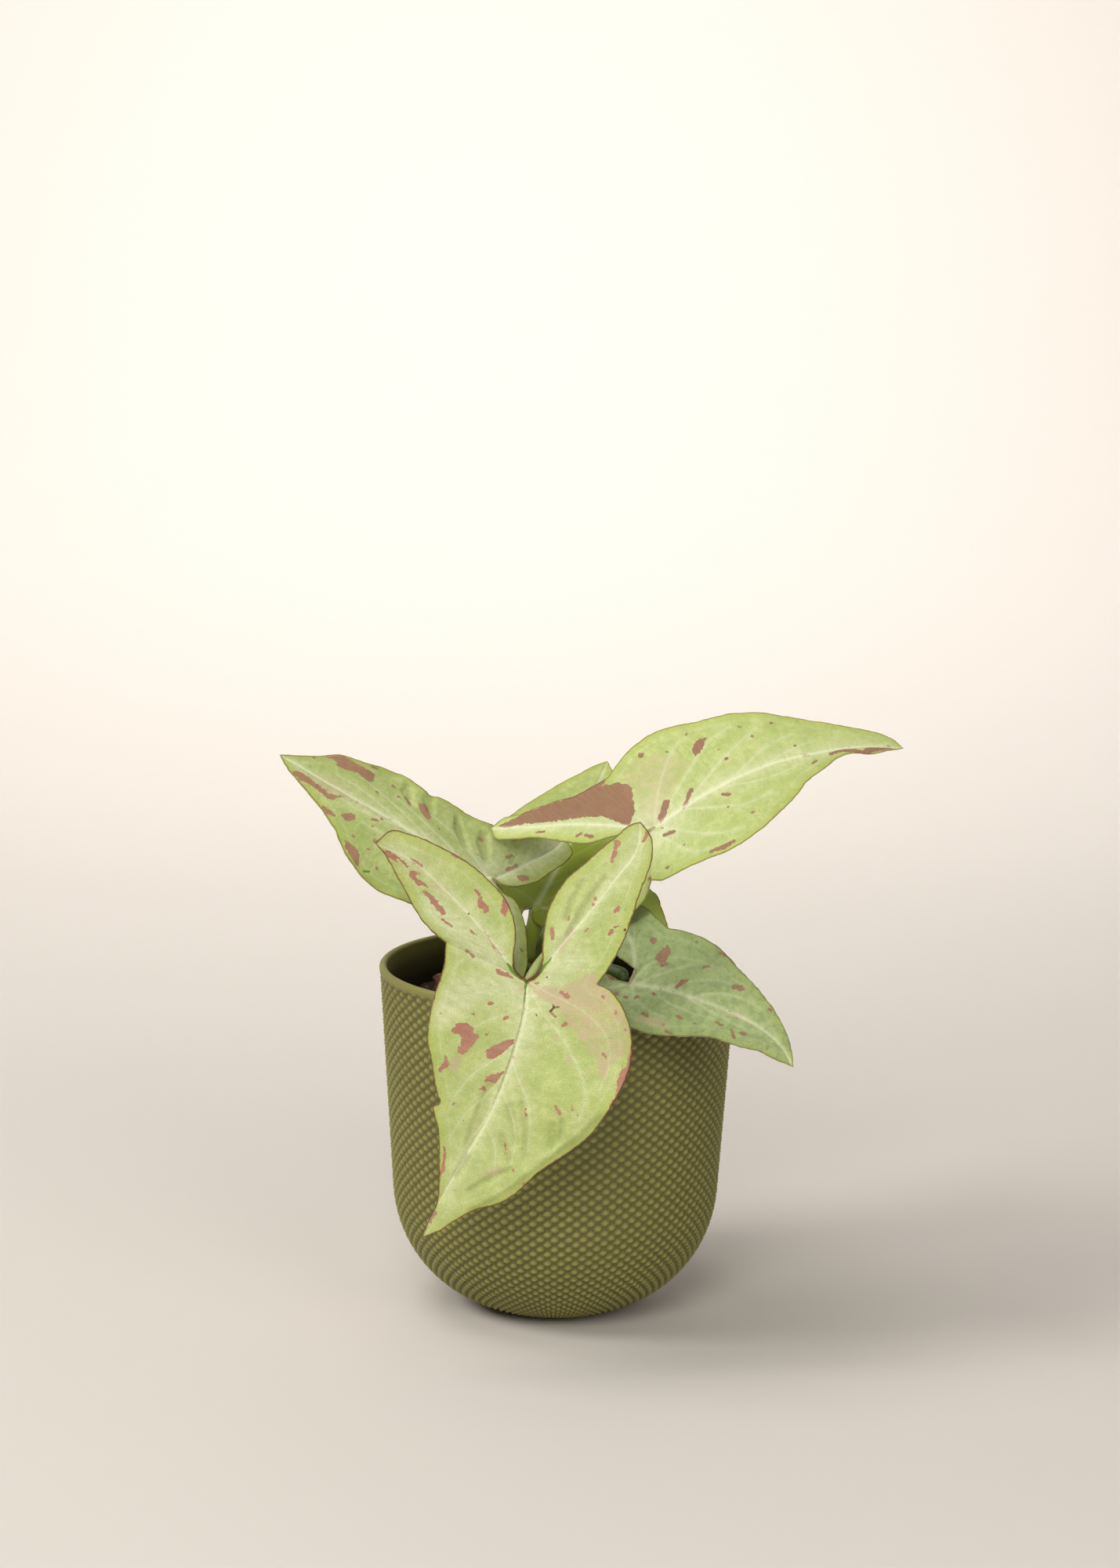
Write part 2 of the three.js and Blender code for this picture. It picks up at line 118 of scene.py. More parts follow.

# Each leaf lies in its own plane first: x across, y along the midrib, stalk joint at 0,0.
# heading, rise and roll turn that plane; droop and lobe_droop bend it, in radians per 100 mm.
# plus and minus are its two halves, each with a lobe: the lobe's rib, the margin towards the
# other lobe, the outer margin of the lobe and the edge of the main blade.
# veins are the main side veins. patches and washes are closed outlines of crisp marks and of
# soft blush. All others are strokes whose third number is the half width: marks and blush, webs
# (green skin between the lobes), rims (dark margin), lines (painted shadow in the midrib's
# groove), bloom (pale glow), creases (folds, with painted shade) and scars.
FRONT = {
    "at": (-11.7, -82, 149), "heading": 236, "rise": -64, "roll": -48,
    "droop": 0.22, "lobe_droop": 0.1, "fold": 6,
    "wave": {"height": 0.7, "length": 38, "phase": 0.6},
    "midrib": [
        (0, 0), (-2.8, 6.5), (-5, 16), (-6.3, 30), (-6.4, 42), (-5.5, 55), (-2.5, 71), (0, 87),
        (1.5, 103.5),
    ],
    "plus": {
        "rib": [(0, 0), (8, -3.4), (18, -9), (29.5, -15), (41, -20), (55, -25), (70.5, -26)],
        "inner": [
            (0, 0), (5, -2.5), (7.5, -6.5), (9.8, -14), (16, -23), (28, -30), (43, -33.5), (60, -33.8),
            (67, -32), (70.5, -26),
        ],
        "outer": [(33, -2), (40, -4.3), (47, -8), (55, -14.6), (65, -22.6), (70.5, -26)],
        "edge": [
            (33, -2), (30, 6.5), (29.7, 16), (26.6, 31.5), (20.9, 41.7), (15.2, 50.8), (13.2, 53.4),
            (14.9, 55.8), (13.2, 58.6), (10.6, 62), (5.6, 73.8), (1.8, 84.5), (0.8, 90), (1.3, 97),
            (1.5, 103.5),
        ],
    },
    "minus": {
        "rib": [(0, 0), (-3.8, -7.3), (-7, -17), (-11.5, -30), (-16, -46), (-19.5, -60), (-17, -70.5)],
        "inner": [
            (0, 0), (-2.5, -3.5), (-2.4, -9), (0, -16), (2.6, -28), (1.3, -38.5), (-5, -52),
            (-10.8, -62.8), (-13.3, -67.6), (-17, -70.5),
        ],
        "outer": [
            (-25, -8.7), (-26.5, -14), (-28, -26), (-27, -45), (-26, -60), (-22.5, -67), (-17, -70.5),
        ],
        "edge": [
            (-25, -8.7), (-29, -8.8), (-35, -6), (-42, 1), (-46.5, 10), (-47.9, 18), (-47.5, 27),
            (-46.4, 33), (-44.5, 40.4), (-41.2, 47.8), (-37.2, 54), (-33, 59.8), (-29.6, 65.3),
            (-27.6, 70), (-25, 75), (-21.8, 79.2), (-17, 82.8), (-12.4, 86.8), (-8.8, 91.2), (-3.9, 97.8),
            (1.5, 103.5),
        ],
    },
    "stalk": {
        "path": [
            (-11.6, -2, 125.5), (-10.4, -8.8, 132), (-4, -20, 143), (3, -38, 155), (4, -56, 162),
            (0, -68, 161), (-7, -77, 154.5), (-12.6, -80.4, 145.7),
        ],
        "radii": (2.6, 1.7),
    },
    "veins": [
        [(0.5, 1), (13.5, -1), (23.5, 0), (26, 5), (26.5, 11)],
        [(0, 1.5), (5.5, 5), (16.5, 11.5), (22.5, 16)],
        [(-2, 7), (-1, 11), (5, 16), (11, 22.5), (15, 30.5)],
        [(-4.5, 23.5), (0.5, 31.5), (6, 40), (9, 50)], [(-5, 36.5), (-1, 46), (3.5, 55.5), (5, 65.5)],
        [(-5, 52), (-2, 62.5), (0.5, 74.5)], [(-1, -1), (-7, -9), (-16, -14.5), (-22, -15)],
        [(-1.5, 0), (-9, 1), (-17.5, 1.5), (-26, 3), (-33.5, 6.5), (-37.5, 10.5), (-40.5, 19.5),
         (-40.5, 27)],
        [(-2.5, 2), (-10, 8.5), (-19, 13.5), (-27, 19.5), (-33.5, 26), (-37, 32.5), (-37.5, 40)],
        [(-6, 29), (-11.5, 35), (-17, 40.5), (-21.5, 49.5), (-24, 58)],
        [(-6.5, 40.5), (-13, 47), (-18, 55), (-20, 64.5)], [(-6.5, 55), (-12.5, 61.5), (-15.5, 71)],
    ],
    "marks": [
        [(37.5, -9.5, 0.3), (33, -8.5, 0.3)], [(26, -9.5, 0.3), (24, -9, 0.4)],
        [(22, -11.5, 0.2), (17.5, -8.5, 0.3), (12, -5.5, 0.3)], [(24.5, -2, 0.3), (21.5, -1, 0.3)],
        [(-12, -38, 0.4), (-12.5, -35.5, 0.4)], [(-21.5, -37.5, 0.7), (-21, -35.5, 0.4)],
        [(-24.5, -32, 0.2), (-22.5, -30.5, 0.3)], [(-22.5, -29, 0.7), (-22, -27.5, 0.5)],
        [(-14, -26.5, 0.5), (-13, -25, 0.4)], [(-5.5, -28.5, 0.4), (-6, -27, 0.4)],
        [(-1.5, -21.5, 0.7), (-3, -18, 0.5)], [(1, 43.5, 0.5), (0, 42.5, 0.7)], [(-0.5, 0.5, 0.4)],
        [(-3, -0.5, 0.3), (-4.5, -1, 0.3)], [(9.5, 13, 0.4), (8.5, 12, 0.4)], [(13.5, 18.5, 0.6)],
        [(24.5, 23, 0.4)], [(2.5, 16, 0.3), (1.5, 15, 0.3)], [(-3, 9.5, 0.2), (-4, 10.5, 0.2)],
        [(-13.5, -1, 0.5), (-16.5, -0.5, 0.7)], [(-13.5, 7.5, 0.4), (-15, 8, 0.4)],
        [(-18.5, 10.5, 0.4), (-19.5, 9, 0.8)], [(-25.5, 6.5, 0.4)], [(-29, -5, 0.6)],
        [(-35.5, -1.5, 0.7)], [(-41, 3, 0.6)], [(-36.5, 14, 0.4), (-38, 15, 0.5)], [(-39, 19.5, 0.3)],
        [(-6, 27.5, 0.4), (-6.5, 28.5, 0.3)], [(-27.5, 38.5, 0.4), (-30, 40, 0.5)],
        [(-33, 36, 0.3), (-34, 37, 0.3)], [(-36, 38.5, 0.4)], [(-17.5, 43.5, 0.3), (-18.5, 45.5, 0.3)],
        [(6.5, 24, 0.3), (5.5, 23, 0.3)], [(-15, 58.5, 0.3), (-17, 61.5, 0.4)],
        [(5.5, 68, 0.3), (4, 72.5, 0.4), (3, 76, 0.7), (3.5, 78.5, 0.5)], [(-21.5, 66, 0.6)],
        [(-27, 69.5, 0.6)], [(0, 92, 0.5), (0.5, 96, 0.4)], [(2, 56, 0.4)], [(8, 52, 0.3)],
        [(-39.5, 50, 0.3)],
    ],
    "blush": [
        [(13, 36.5, 1.7), (12.5, 40, 1.4)], [(-7.5, -15.5, 0.7), (-9, -23.5, 1)],
        [(1, 3.5, 1.2), (-0.5, 4.5, 0.9)], [(-11, 72.5, 0.4), (-16, 68, 0.9)],
        [(44, -20, 0.9), (37.5, -18.5, 0.6)], [(-18, 15.5, 1.2)], [(-25.5, 21, 1.2)], [(-34.5, 22, 0.9)],
    ],
    "patches": [
        [(68, -23.8), (66.2, -25), (64.4, -25.2), (60.2, -24.4), (57, -23.2), (55.2, -22), (60.6, -23.8),
         (61.4, -23.4), (59.8, -22.8), (61.4, -22.4), (65.4, -23.2), (67, -23.2)],
        [(56.4, -25.6), (54.8, -25.8), (51.6, -25), (50.6, -24.2), (54, -24.4)],
        [(55, -21.4), (54, -22), (50.6, -21.6), (52.2, -21), (52.4, -20.4), (50.6, -19.4), (49, -19.6),
         (47, -18.4), (48.8, -18.6), (50.4, -17.6), (53.4, -19.2), (54.6, -20.2)],
        [(48.4, -16.4), (46.8, -16.8), (42, -15.4), (40.6, -14.2), (38, -13.2), (36.4, -11.6),
         (37.8, -11), (43.4, -13.4), (44.4, -14.6)],
        [(30.8, -25), (28, -23.6), (27, -22.6), (28, -22.4), (23.2, -20), (22.4, -18.6), (23.6, -17.6),
         (25, -18.6), (27, -18.8), (27.8, -20.4), (27.8, -21.8), (29.8, -23.4)],
        [(43.8, -33.6), (42.6, -34), (39.4, -32.4), (40.8, -31.8), (42.4, -32.2)],
        [(19.4, -25.2), (18.2, -24.8), (16.6, -23.6), (16, -22), (16.2, -18.8), (17.4, -19.8),
         (18.2, -19.8)],
        [(-11.6, -61.4), (-12.8, -61.2), (-13, -59.4), (-12.4, -58), (-13.4, -56.4), (-12.8, -52.4),
         (-12.2, -53.4), (-11.4, -58.8), (-10.2, -60.4)],
        [(-21, -68.4), (-23.4, -66.4), (-21.8, -66.6), (-21, -64.4), (-20.2, -63.8), (-20.6, -66.2),
         (-20, -67.6)],
        [(12.2, 0.6), (11.4, -0.2), (7, -0.2), (5, 0.6), (5.8, 1.4), (11.2, 1.2)],
        [(16.2, 23.2), (14.2, 22.6), (12.8, 23.2), (11.2, 23), (11.2, 24.8), (8.6, 24.6), (9.2, 29),
         (10.2, 30.6), (10.4, 32), (11.8, 34), (13.8, 33.8), (14.2, 32), (13.8, 31.2), (13.8, 28),
         (15.8, 27.4), (18.2, 27.6), (18.8, 26.6), (17.8, 24.4)],
        [(-3.4, 21.6), (-4, 22.4), (-3.6, 24.4), (-2.4, 26.6), (-1, 28.8), (0.8, 30.8), (2.6, 31.8),
         (4.2, 29.6), (3.2, 27.8), (-0.4, 23.8)],
        [(1, 39.4), (0.4, 37.8), (-4.8, 33.8), (-3.8, 38.8), (0.2, 40)],
        [(17.6, 36.6), (16.4, 37), (15, 38.6), (15, 40), (16.2, 41.4), (16.8, 42.8), (17.8, 42.8),
         (17.4, 41.2), (17.2, 37.8)],
        [(-46.2, 7.4), (-48.4, 14.4), (-48.8, 19.2), (-48, 28.8), (-46.4, 32), (-46.6, 25.2),
         (-45.6, 22.6), (-45.2, 19), (-45.6, 16.4), (-46.4, 14.8), (-46, 11.2), (-44.8, 7.6)],
    ],
    "washes": [
        [(-0.8, 0.6), (-6.8, 3.8), (-10.6, 4.4), (-17.6, 6.4), (-19.4, 9), (-28.4, 13), (-32.6, 15.6),
         (-36.2, 18.4), (-40.2, 22.8), (-41, 20.6), (-40.6, 16.6), (-43.2, 12.4), (-44.2, 9.4),
         (-43.8, 4.4), (-42.2, 1.8), (-38, -2.4), (-31.8, -6.8), (-27.8, -8.6), (-22, -12), (-18.8, -9.4),
         (-15.4, -5), (-12, -2.6), (-7.6, -0.8), (-3.4, -0.4)],
    ],
    "webs": [
        [(8.8, -3.4, 0.3), (6.6, -2.1, 0.75), (4.5, -0.8, 0.6), (2, 0.1, 0.4)],
        [(6.4, -3.8, 0.6), (5.6, -2.6, 1), (4.1, -1.3, 0.8)],
        [(-0.2, 0, 0.5), (-0.4, 1.9, 0.35), (-1.3, 4.4, 0.2), (-2.2, 8, 0.1)],
        [(-5.4, -11.6, 0.15), (-4.9, -9.8, 0.3), (-4.1, -8.2, 0.5), (-3.6, -6.5, 0.6), (-3.4, -5, 0.5),
         (-2.7, -2.8, 0.35), (-1.2, -0.8, 0.3)],
    ],
    "rims": [
        [(8, -8, 0.2), (7.2, -5.8, 0.4), (5.6, -3.2, 0.6), (3.8, -1.8, 0.6), (1.9, -0.7, 0.5)],
        [(1.9, -0.7, 0.5), (0, -0.3, 0.45), (-1, -1.2, 0.4), (-2.3, -3.4, 0.5), (-2.5, -6, 0.4),
         (-2.3, -9, 0.3)],
    ],
    # Painted shadow in the midrib's groove.
    "lines": [
        [(-0.4, 2, 0.3), (-2, 6.5, 0.26), (-3.9, 15, 0.22), (-5.2, 28.6, 0.22), (-5.5, 38, 0.16),
         (-5.3, 47, 0.08)],
    ],
    "bloom": [
        [(8, 3, 3), (20, 13, 5), (25, 22, 4)], [(14, -2, 3), (28, -8, 4), (42, -12, 4)],
        [(-2.5, 3, 1.5), (-6, 12, 2.5), (-8, 24, 2)], [(-4, -3, 2), (-9, -8, 3), (-14, -14, 3)],
    ],
    "creases": [
        [(-45, 36, 0.8), (-41.2, 47, 1.8), (-36.2, 56, 2.2), (-31, 64.5, 2.2), (-25.5, 73, 1.9),
         (-19.5, 80.5, 1.5), (-13, 87, 0.8)],
        [(-11.6, 45.2, 0.3), (-14.2, 49.1, 0.6), (-17.1, 53.2, 0.6), (-19, 56.4, 0.4)],
        [(-15.3, 42.4, 0.2), (-18.8, 47.2, 0.6), (-21.7, 52.8, 0.8), (-24.1, 59.5, 0.6)],
        [(-13.2, 56.3, 0.3), (-15.9, 59.8, 0.5), (-19.1, 63.8, 0.4)],
        [(-29.2, 45.4, 0.9), (-30.9, 49, 1), (-31.7, 52.4, 0.7)],
        [(-32, 42.4, 0.4), (-33.1, 46.5, 0.6), (-33.1, 49.6, 0.4)],
        [(-9.3, 79.2, 0.4), (-12.4, 75.1, 0.5), (-15.7, 71.2, 0.5), (-20.6, 66, 0.3)],
        [(-2.2, 40.7, 0.9), (-2.7, 48.2, 1.5), (-2.6, 56, 1.5), (-2.6, 63.9, 0.9)],
        [(-4.3, 68.2, 0.3), (-3.5, 72.6, 0.6), (-2.4, 76.5, 0.3)],
        [(-8, -22, 0.3), (-9.2, -29, 0.8), (-10.8, -38, 0.6), (-13, -46, 0.3)],
        [(-5.5, -27, 0.3), (-4.6, -33, 0.6), (-5.8, -42, 0.4)],
    ],
    "scars": [
        [(-13.3, 5.1, 0.5), (-12.6, 7, 0.4)], [(-13.3, 5.1, 0.4), (-15, 4.4, 0.3)],
        [(-13.3, 5.1, 0.3), (-12.4, 4.2, 0.2)], [(-6.6, -4.3, 0.4)], [(29.1, -15.1, 0.4)],
        [(-26.8, -31, 0.45)], [(-8.1, 10, 0.25), (-8.7, 10.6, 0.2)], [(31.6, -12.2, 0.25)],
    ],
}
UPPER_RIGHT = {
    "at": (36, -16, 194.5), "heading": 84, "rise": 34, "roll": 32,
    "droop": 0.66, "lobe_droop": 0.2, "fold": 6,
    "wave": {"height": 0.6, "length": 36, "phase": 2.2},
    "midrib": [(0, 0), (-1.5, 19.5), (-2.5, 37), (-2.6, 54), (-1.2, 71), (0, 89), (3.7, 107)],
    "plus": {
        "rib": [(0, 0), (8, -7), (16, -16), (23, -26), (29, -37)],
        "inner": [(0, 0), (0.2, -3.5), (1, -7), (3.4, -13.5), (9, -23), (17, -32), (29, -37)],
        "outer": [(24.8, -11.8), (28.5, -14.7), (31.6, -18.6), (33, -24), (32.5, -31), (29, -37)],
        "edge": [
            (24.8, -11.8), (28.3, -8.4), (30.2, -2), (31.3, 8), (33.6, 19), (34.2, 26), (32.4, 33.5),
            (27.6, 41.5), (21.8, 50.6), (14.4, 60.3), (9.9, 69), (4.6, 78), (3.6, 84.5), (6, 90.6),
            (5.2, 98), (3.7, 107),
        ],
    },
    "minus": {
        "rib": [(0, 0), (-10, -10), (-20, -20), (-30, -31), (-39, -43), (-46.5, -53)],
        "inner": [
            (0, 0), (-0.3, -3.5), (-2.5, -7), (-6.5, -12), (-12.3, -24.5), (-18.7, -30.6), (-25.6, -36),
            (-31, -41), (-36.4, -49), (-41.4, -53.6), (-46.5, -53),
        ],
        "outer": [
            (-34.1, -4.4), (-33.9, -9.8), (-34.8, -18), (-39.5, -26.2), (-43.4, -33.5), (-44.8, -40),
            (-47, -46), (-46.5, -53),
        ],
        "edge": [
            (-34.1, -4.4), (-37.6, 1.5), (-39.9, 8), (-40.3, 16), (-39.6, 24), (-38.1, 34.4), (-35, 46.2),
            (-30.2, 57.3), (-24.6, 68), (-18.3, 78.5), (-12, 89.2), (-6.6, 100.4), (-1.8, 105.6),
            (3.7, 107),
        ],
    },
    "stalk": {
        "path": [
            (-12, 0.2, 131), (-8, -2.5, 135), (-6, -6, 142), (-5, -10.5, 150), (-1, -16, 156.5),
            (6, -19, 162), (15, -19, 170), (26, -16, 181), (32.8, -14.5, 188.5), (39.4, -14.4, 194.5),
        ],
        "radii": (2.7, 1.8),
    },
    "veins": [
        [(-1, 1), (-9.5, 6), (-17, 11.5), (-25, 19), (-31, 27)],
        [(-0.5, 3), (-8.5, 13.5), (-16.5, 24.5), (-25, 36.5), (-27.5, 46)],
        [(-1, 14), (-8, 27), (-15.5, 40.5), (-22, 55)], [(-1, 30.5), (-6, 43), (-11, 53.5), (-14, 66.5)],
        [(-2.5, 49.5), (-6, 61.5), (-7.5, 73.5)], [(2.5, 3), (13, 10.5), (23, 20), (26.5, 28.5)],
        [(0, 13.5), (7.5, 23.5), (14, 34), (13.5, 45.5)], [(-0.5, 32), (3.5, 42), (4.5, 54.5), (2, 64)],
        [(3, 0), (13.5, 3), (24, 7.5), (28, 14.5)],
    ],
    "marks": [
        [(-34, 11.5, 1.1)], [(-28.5, 20, 0.6)], [(-6.5, 20, 0.8), (-3, 16.5, 0.7), (-0.5, 13.5, 0.4)],
        [(7, 2, 0.9), (8.5, 5.5, 0.9)], [(2.5, 3, 0.5)],
        [(29.5, 13, 0.6), (30.5, 18, 1.3), (31, 22.5, 0.6)], [(3, 29.5, 0.5), (5, 31, 0.9)],
        [(11.5, 28, 0.6)], [(21, 34.5, 0.6)], [(-13, 38.5, 0.7)], [(-22, 61.5, 0.7)], [(-25.5, 50, 0.6)],
        [(-18.5, 52, 0.5)], [(-19, 38, 0.5)], [(-7.5, 65, 0.5)], [(-1.5, 66, 0.6), (-1, 68, 0.5)],
        [(4.5, 67, 0.6), (4, 69, 0.4)],
        [(1.5, 76, 0.8), (0.5, 81.5, 1), (2.5, 86, 1.1), (5, 88.5, 1.6), (3, 94, 1.6), (3, 101, 1.2)],
        [(24.5, -4, 0.8)], [(18, 6, 0.4)], [(-16, -23.5, 0.6), (-13.5, -21.5, 0.6)],
        [(-18.5, -26.5, 0.6), (-18, -24.5, 0.5)], [(-32.5, -39, 0.5), (-30.5, -36.5, 0.4)],
        [(23.5, -12, 0.7)], [(-32.5, 30.5, 0.5)],
    ],
    "patches": [
        [(-12.6, -2.2), (-9, -5.4), (-7.8, -7.6), (-19, -14), (-39.4, -40.8), (-42.4, -47.6),
         (-45, -49.6), (-44.2, -44.6), (-44.4, -38.2), (-41.8, -31.2), (-37, -23.2), (-35.4, -16.8),
         (-35.2, -11.8), (-36, -5.2), (-37.8, -1.2), (-35.4, -3), (-31.6, -7.6), (-29, -1.8),
         (-25.8, 0.6), (-22.4, 1.4), (-17.6, -0.6)],
        [(-27, 36), (-24, 34), (-21.8, 31.2), (-20.8, 28.8), (-23.4, 28.8), (-26.4, 31), (-28.2, 33.6)],
        [(-7.4, 11), (-4.6, 9), (-1.6, 6.2), (-0.2, 3), (-2.6, 3.4), (-8.4, 9)],
    ],
    "washes": [
        [(-29.4, 17), (-22.8, 24.2), (-17, 23.2), (-14.6, 17.4), (-10.2, 13.4), (-8, 9.4), (-0.8, 3.8),
         (-0.4, -0.4), (-4.8, -2.2), (-22.4, 3), (-28.2, 0.8), (-33.8, 1.8), (-32.6, 8)],
    ],
}
UPPER_LEFT = {
    "at": (-25.8, -5, 171.1), "heading": 268, "rise": 31, "roll": -30,
    "droop": 0.1, "lobe_droop": 0.3, "fold": -5,
    "wave": {"height": 0.9, "length": 34, "phase": 1.2},
    "midrib": [(0, 0), (-1.9, 12), (-0.8, 26), (0.5, 43), (1, 58), (1.8, 73), (4.1, 95.7)],
    "plus": {
        "rib": [(0, 0), (11, -5.5), (23, -11), (35, -16.5), (44, -20), (52, -22)],
        "inner": [
            (0, 0), (-0.2, -4.2), (2.2, -8.2), (7.7, -12.9), (15.1, -17.1), (25.6, -21), (36.6, -25.3),
            (44.8, -26.5), (52, -22),
        ],
        "outer": [(29, -2), (35.5, -4.5), (43, -9.5), (49.5, -16), (52, -22)],
        "edge": [
            (29, -2), (31, 8), (30.6, 18), (30.2, 27), (28.6, 33), (27.8, 37.2), (29.4, 42), (31.9, 48),
            (31.2, 53), (29, 58.7), (26.2, 63.4), (24.5, 68), (23.3, 73), (20.3, 77.4), (16, 81.6),
            (12.6, 85.6), (9, 89.6), (6.4, 93), (4.1, 95.7),
        ],
    },
    "minus": {
        "rib": [(0, 0), (-11, -8), (-22, -14), (-33, -18), (-44, -21.5)],
        "inner": [
            (0, 0), (-3.2, -5), (-3.5, -11), (-6.7, -14.9), (-15.8, -21), (-24.6, -24.8), (-31.5, -27),
            (-38.5, -26.5), (-44, -21.5),
        ],
        "outer": [(-30.5, -4), (-35, -6), (-40, -10), (-43.6, -15.5), (-44, -21.5)],
        "edge": [
            (-30.5, -4), (-31.5, 5), (-33.4, 16), (-35.8, 28), (-35.6, 37.5), (-34.2, 45), (-31.8, 51),
            (-28.4, 56.2), (-24, 60.3), (-19.4, 63.8), (-15.6, 68.3), (-11.8, 73), (-8.8, 78.5),
            (-5.7, 84), (-2.5, 89.5), (1, 93.6), (4.1, 95.7),
        ],
    },
    "stalk": {
        "path": [
            (-12, -0.8, 129.5), (-16.5, -3.5, 137), (-18.5, -4.5, 149), (-21.5, -3.5, 159),
            (-24.4, -3.2, 166.3), (-29.4, -3.9, 170.4),
        ],
        "radii": (2.5, 1.7),
    },
    "veins": [
        [(0, 2.5), (6.5, 12), (13, 22.5), (16, 33), (18, 43.5)],
        [(-0.5, 14), (6, 26), (11, 38), (15, 48)], [(-1.5, 24), (4, 36), (10.5, 48.5), (14.5, 60)],
        [(-0.5, 38.5), (4.5, 50), (8.5, 63.5), (9, 72)],
        [(-1.5, 10), (-7, 18.5), (-12.5, 29), (-14, 40.5)],
        [(-1.5, 24), (-6.5, 34.5), (-8.5, 46), (-9, 55.5)],
        [(-0.5, 42), (-3, 51.5), (-3.5, 61.5), (-2, 70.5)],
    ],
    "marks": [
        [(13, 83.5, 0.7)], [(-11, 72, 0.5), (-12.5, 69, 1.2), (-13, 66.5, 0.5)],
        [(18.5, 44, 0.8), (16.5, 42, 0.6)], [(12, 55.5, 0.7)], [(21.5, 50.5, 0.9)], [(16.5, 47, 0.8)],
        [(0.5, 61, 0.7)], [(-14.5, 48, 0.9)], [(-26.5, 43, 0.7)], [(-20, 49, 0.6)], [(-18, 56.5, 0.5)],
        [(-8, 51.5, 0.5)], [(-5, 52.5, 0.6), (-4, 50.5, 0.4)], [(-2, 49.5, 0.7)], [(19.5, 10.5, 1.2)],
        [(10.5, 27.5, 0.6)], [(20, 22.5, 0.6)], [(17, -2, 0.6), (20, -3.5, 0.6)],
        [(10, -4, 0.8), (16, -7, 0.8)], [(10, -10, 1.4), (13, -12.5, 1.1)],
        [(25.5, 61.5, 0.7), (26.5, 59.5, 0.5)], [(-24.5, -21.5, 0.7)],
    ],
    "blush": [
        [(3, 80, 0.8), (3.5, 72.5, 1.2), (4, 66, 0.8)],
    ],
    "patches": [
        [(17, 79.6), (21, 75.4), (22.8, 72.4), (22, 69.6), (21.8, 66.8), (22.2, 61.2), (21.8, 59.4),
         (16.8, 58.6), (15.6, 60.4), (15.6, 62.4), (16.8, 65.4), (15.6, 68.2), (14.4, 73.6), (14.6, 74.8),
         (16.8, 74.2), (17.2, 76), (16.8, 78.2)],
        [(-1.8, 88.6), (-0.8, 87.2), (-0.2, 84.8), (-0.8, 81.6), (-2, 79), (-2.2, 76.4), (-3.6, 71.8),
         (-1.2, 66.6), (-3.2, 68.4), (-6, 70.2), (-6.2, 72), (-5.2, 74.4), (-4.4, 79.2), (-4, 82),
         (-4.2, 84.4), (-3.4, 86.8)],
        [(-7.2, 59.2), (-9, 59), (-12.2, 60), (-12.2, 62), (-11.8, 63.4), (-10.6, 64.2), (-8.8, 62.8),
         (-7.4, 61.2)],
        [(20.2, 36.8), (20.2, 35.2), (17.8, 33.6), (14.6, 32.4), (11.6, 32.4), (12.2, 34), (15.8, 37.8),
         (18.2, 39)],
        [(-22.2, 59), (-22.8, 54.2), (-24, 52), (-26.6, 50.6), (-30.4, 49.6), (-30, 51.2), (-25.4, 57.4)],
    ],
    "washes": [
        [(1, 83.2), (1.4, 72), (2.2, 67), (2.4, 63), (-1, 64), (-1.2, 66.6), (-3.4, 72), (-1.4, 80.2)],
    ],
    "webs": [
        [(-31, 47, 0.4), (-29.5, 45, 0.5)],
    ],
    "creases": [
        [(28, 35, 1), (24, 36, 1.6), (18, 33, 1)], [(27, 45, 0.8), (22, 45, 1.4), (16, 41, 0.8)],
        [(24, 10, 1), (17, 9, 2), (10, 6, 1.2)], [(24, 22, 0.8), (17, 19.5, 1.6), (10, 15, 1)],
    ],
}
BACK = {
    "at": (-9.4, 20, 155.3), "heading": 18, "rise": 21, "roll": 1,
    "droop": -0.25, "lobe_droop": 0.3, "fold": 3,
    "wave": {"height": 0.7, "length": 36, "phase": 0},
    "midrib": [(0, 0), (1, 50), (2.4, 96)],
    "plus": {
        "rib": [(0, 0), (14, -3), (30, -7), (45, -11), (61, -17)],
        "inner": [
            (0, 0), (0.5, -7), (4, -12), (9, -13.9), (15, -14.6), (28, -15.5), (44, -18.5), (54, -19.5),
            (61, -17),
        ],
        "outer": [(42, 17), (46.9, 10.8), (52.8, 0.5), (58.6, -10), (61, -17)],
        "edge": [(42, 17), (40.5, 28), (36, 43), (29, 58), (20, 72), (11, 84), (2.4, 96)],
    },
    "minus": {
        "rib": [(0, 0), (-7, -8), (-13, -17), (-18, -26), (-22, -36)],
        "inner": [
            (0, 0), (-3.2, -1), (-3.2, -6), (-3.6, -13), (-6, -22), (-11, -31), (-16, -36.5), (-22, -36),
        ],
        "outer": [(-38, 6), (-38, -3), (-35, -12), (-30, -24), (-27, -31), (-22, -36)],
        "edge": [
            (-38, 6), (-38.5, 18), (-37, 32), (-33, 46), (-27.5, 58), (-21.8, 67.2), (-17.2, 74.6),
            (-12.4, 81.4), (-7.2, 87), (-2.6, 92.4), (2.4, 96),
        ],
    },
    "stalk": {
        "path": [(-12.3, 0.3, 136), (-11.8, 4, 142), (-9.9, 12, 148.5), (-8.3, 23.6, 153.8)],
        "radii": (2.75, 3.3),
    },
}
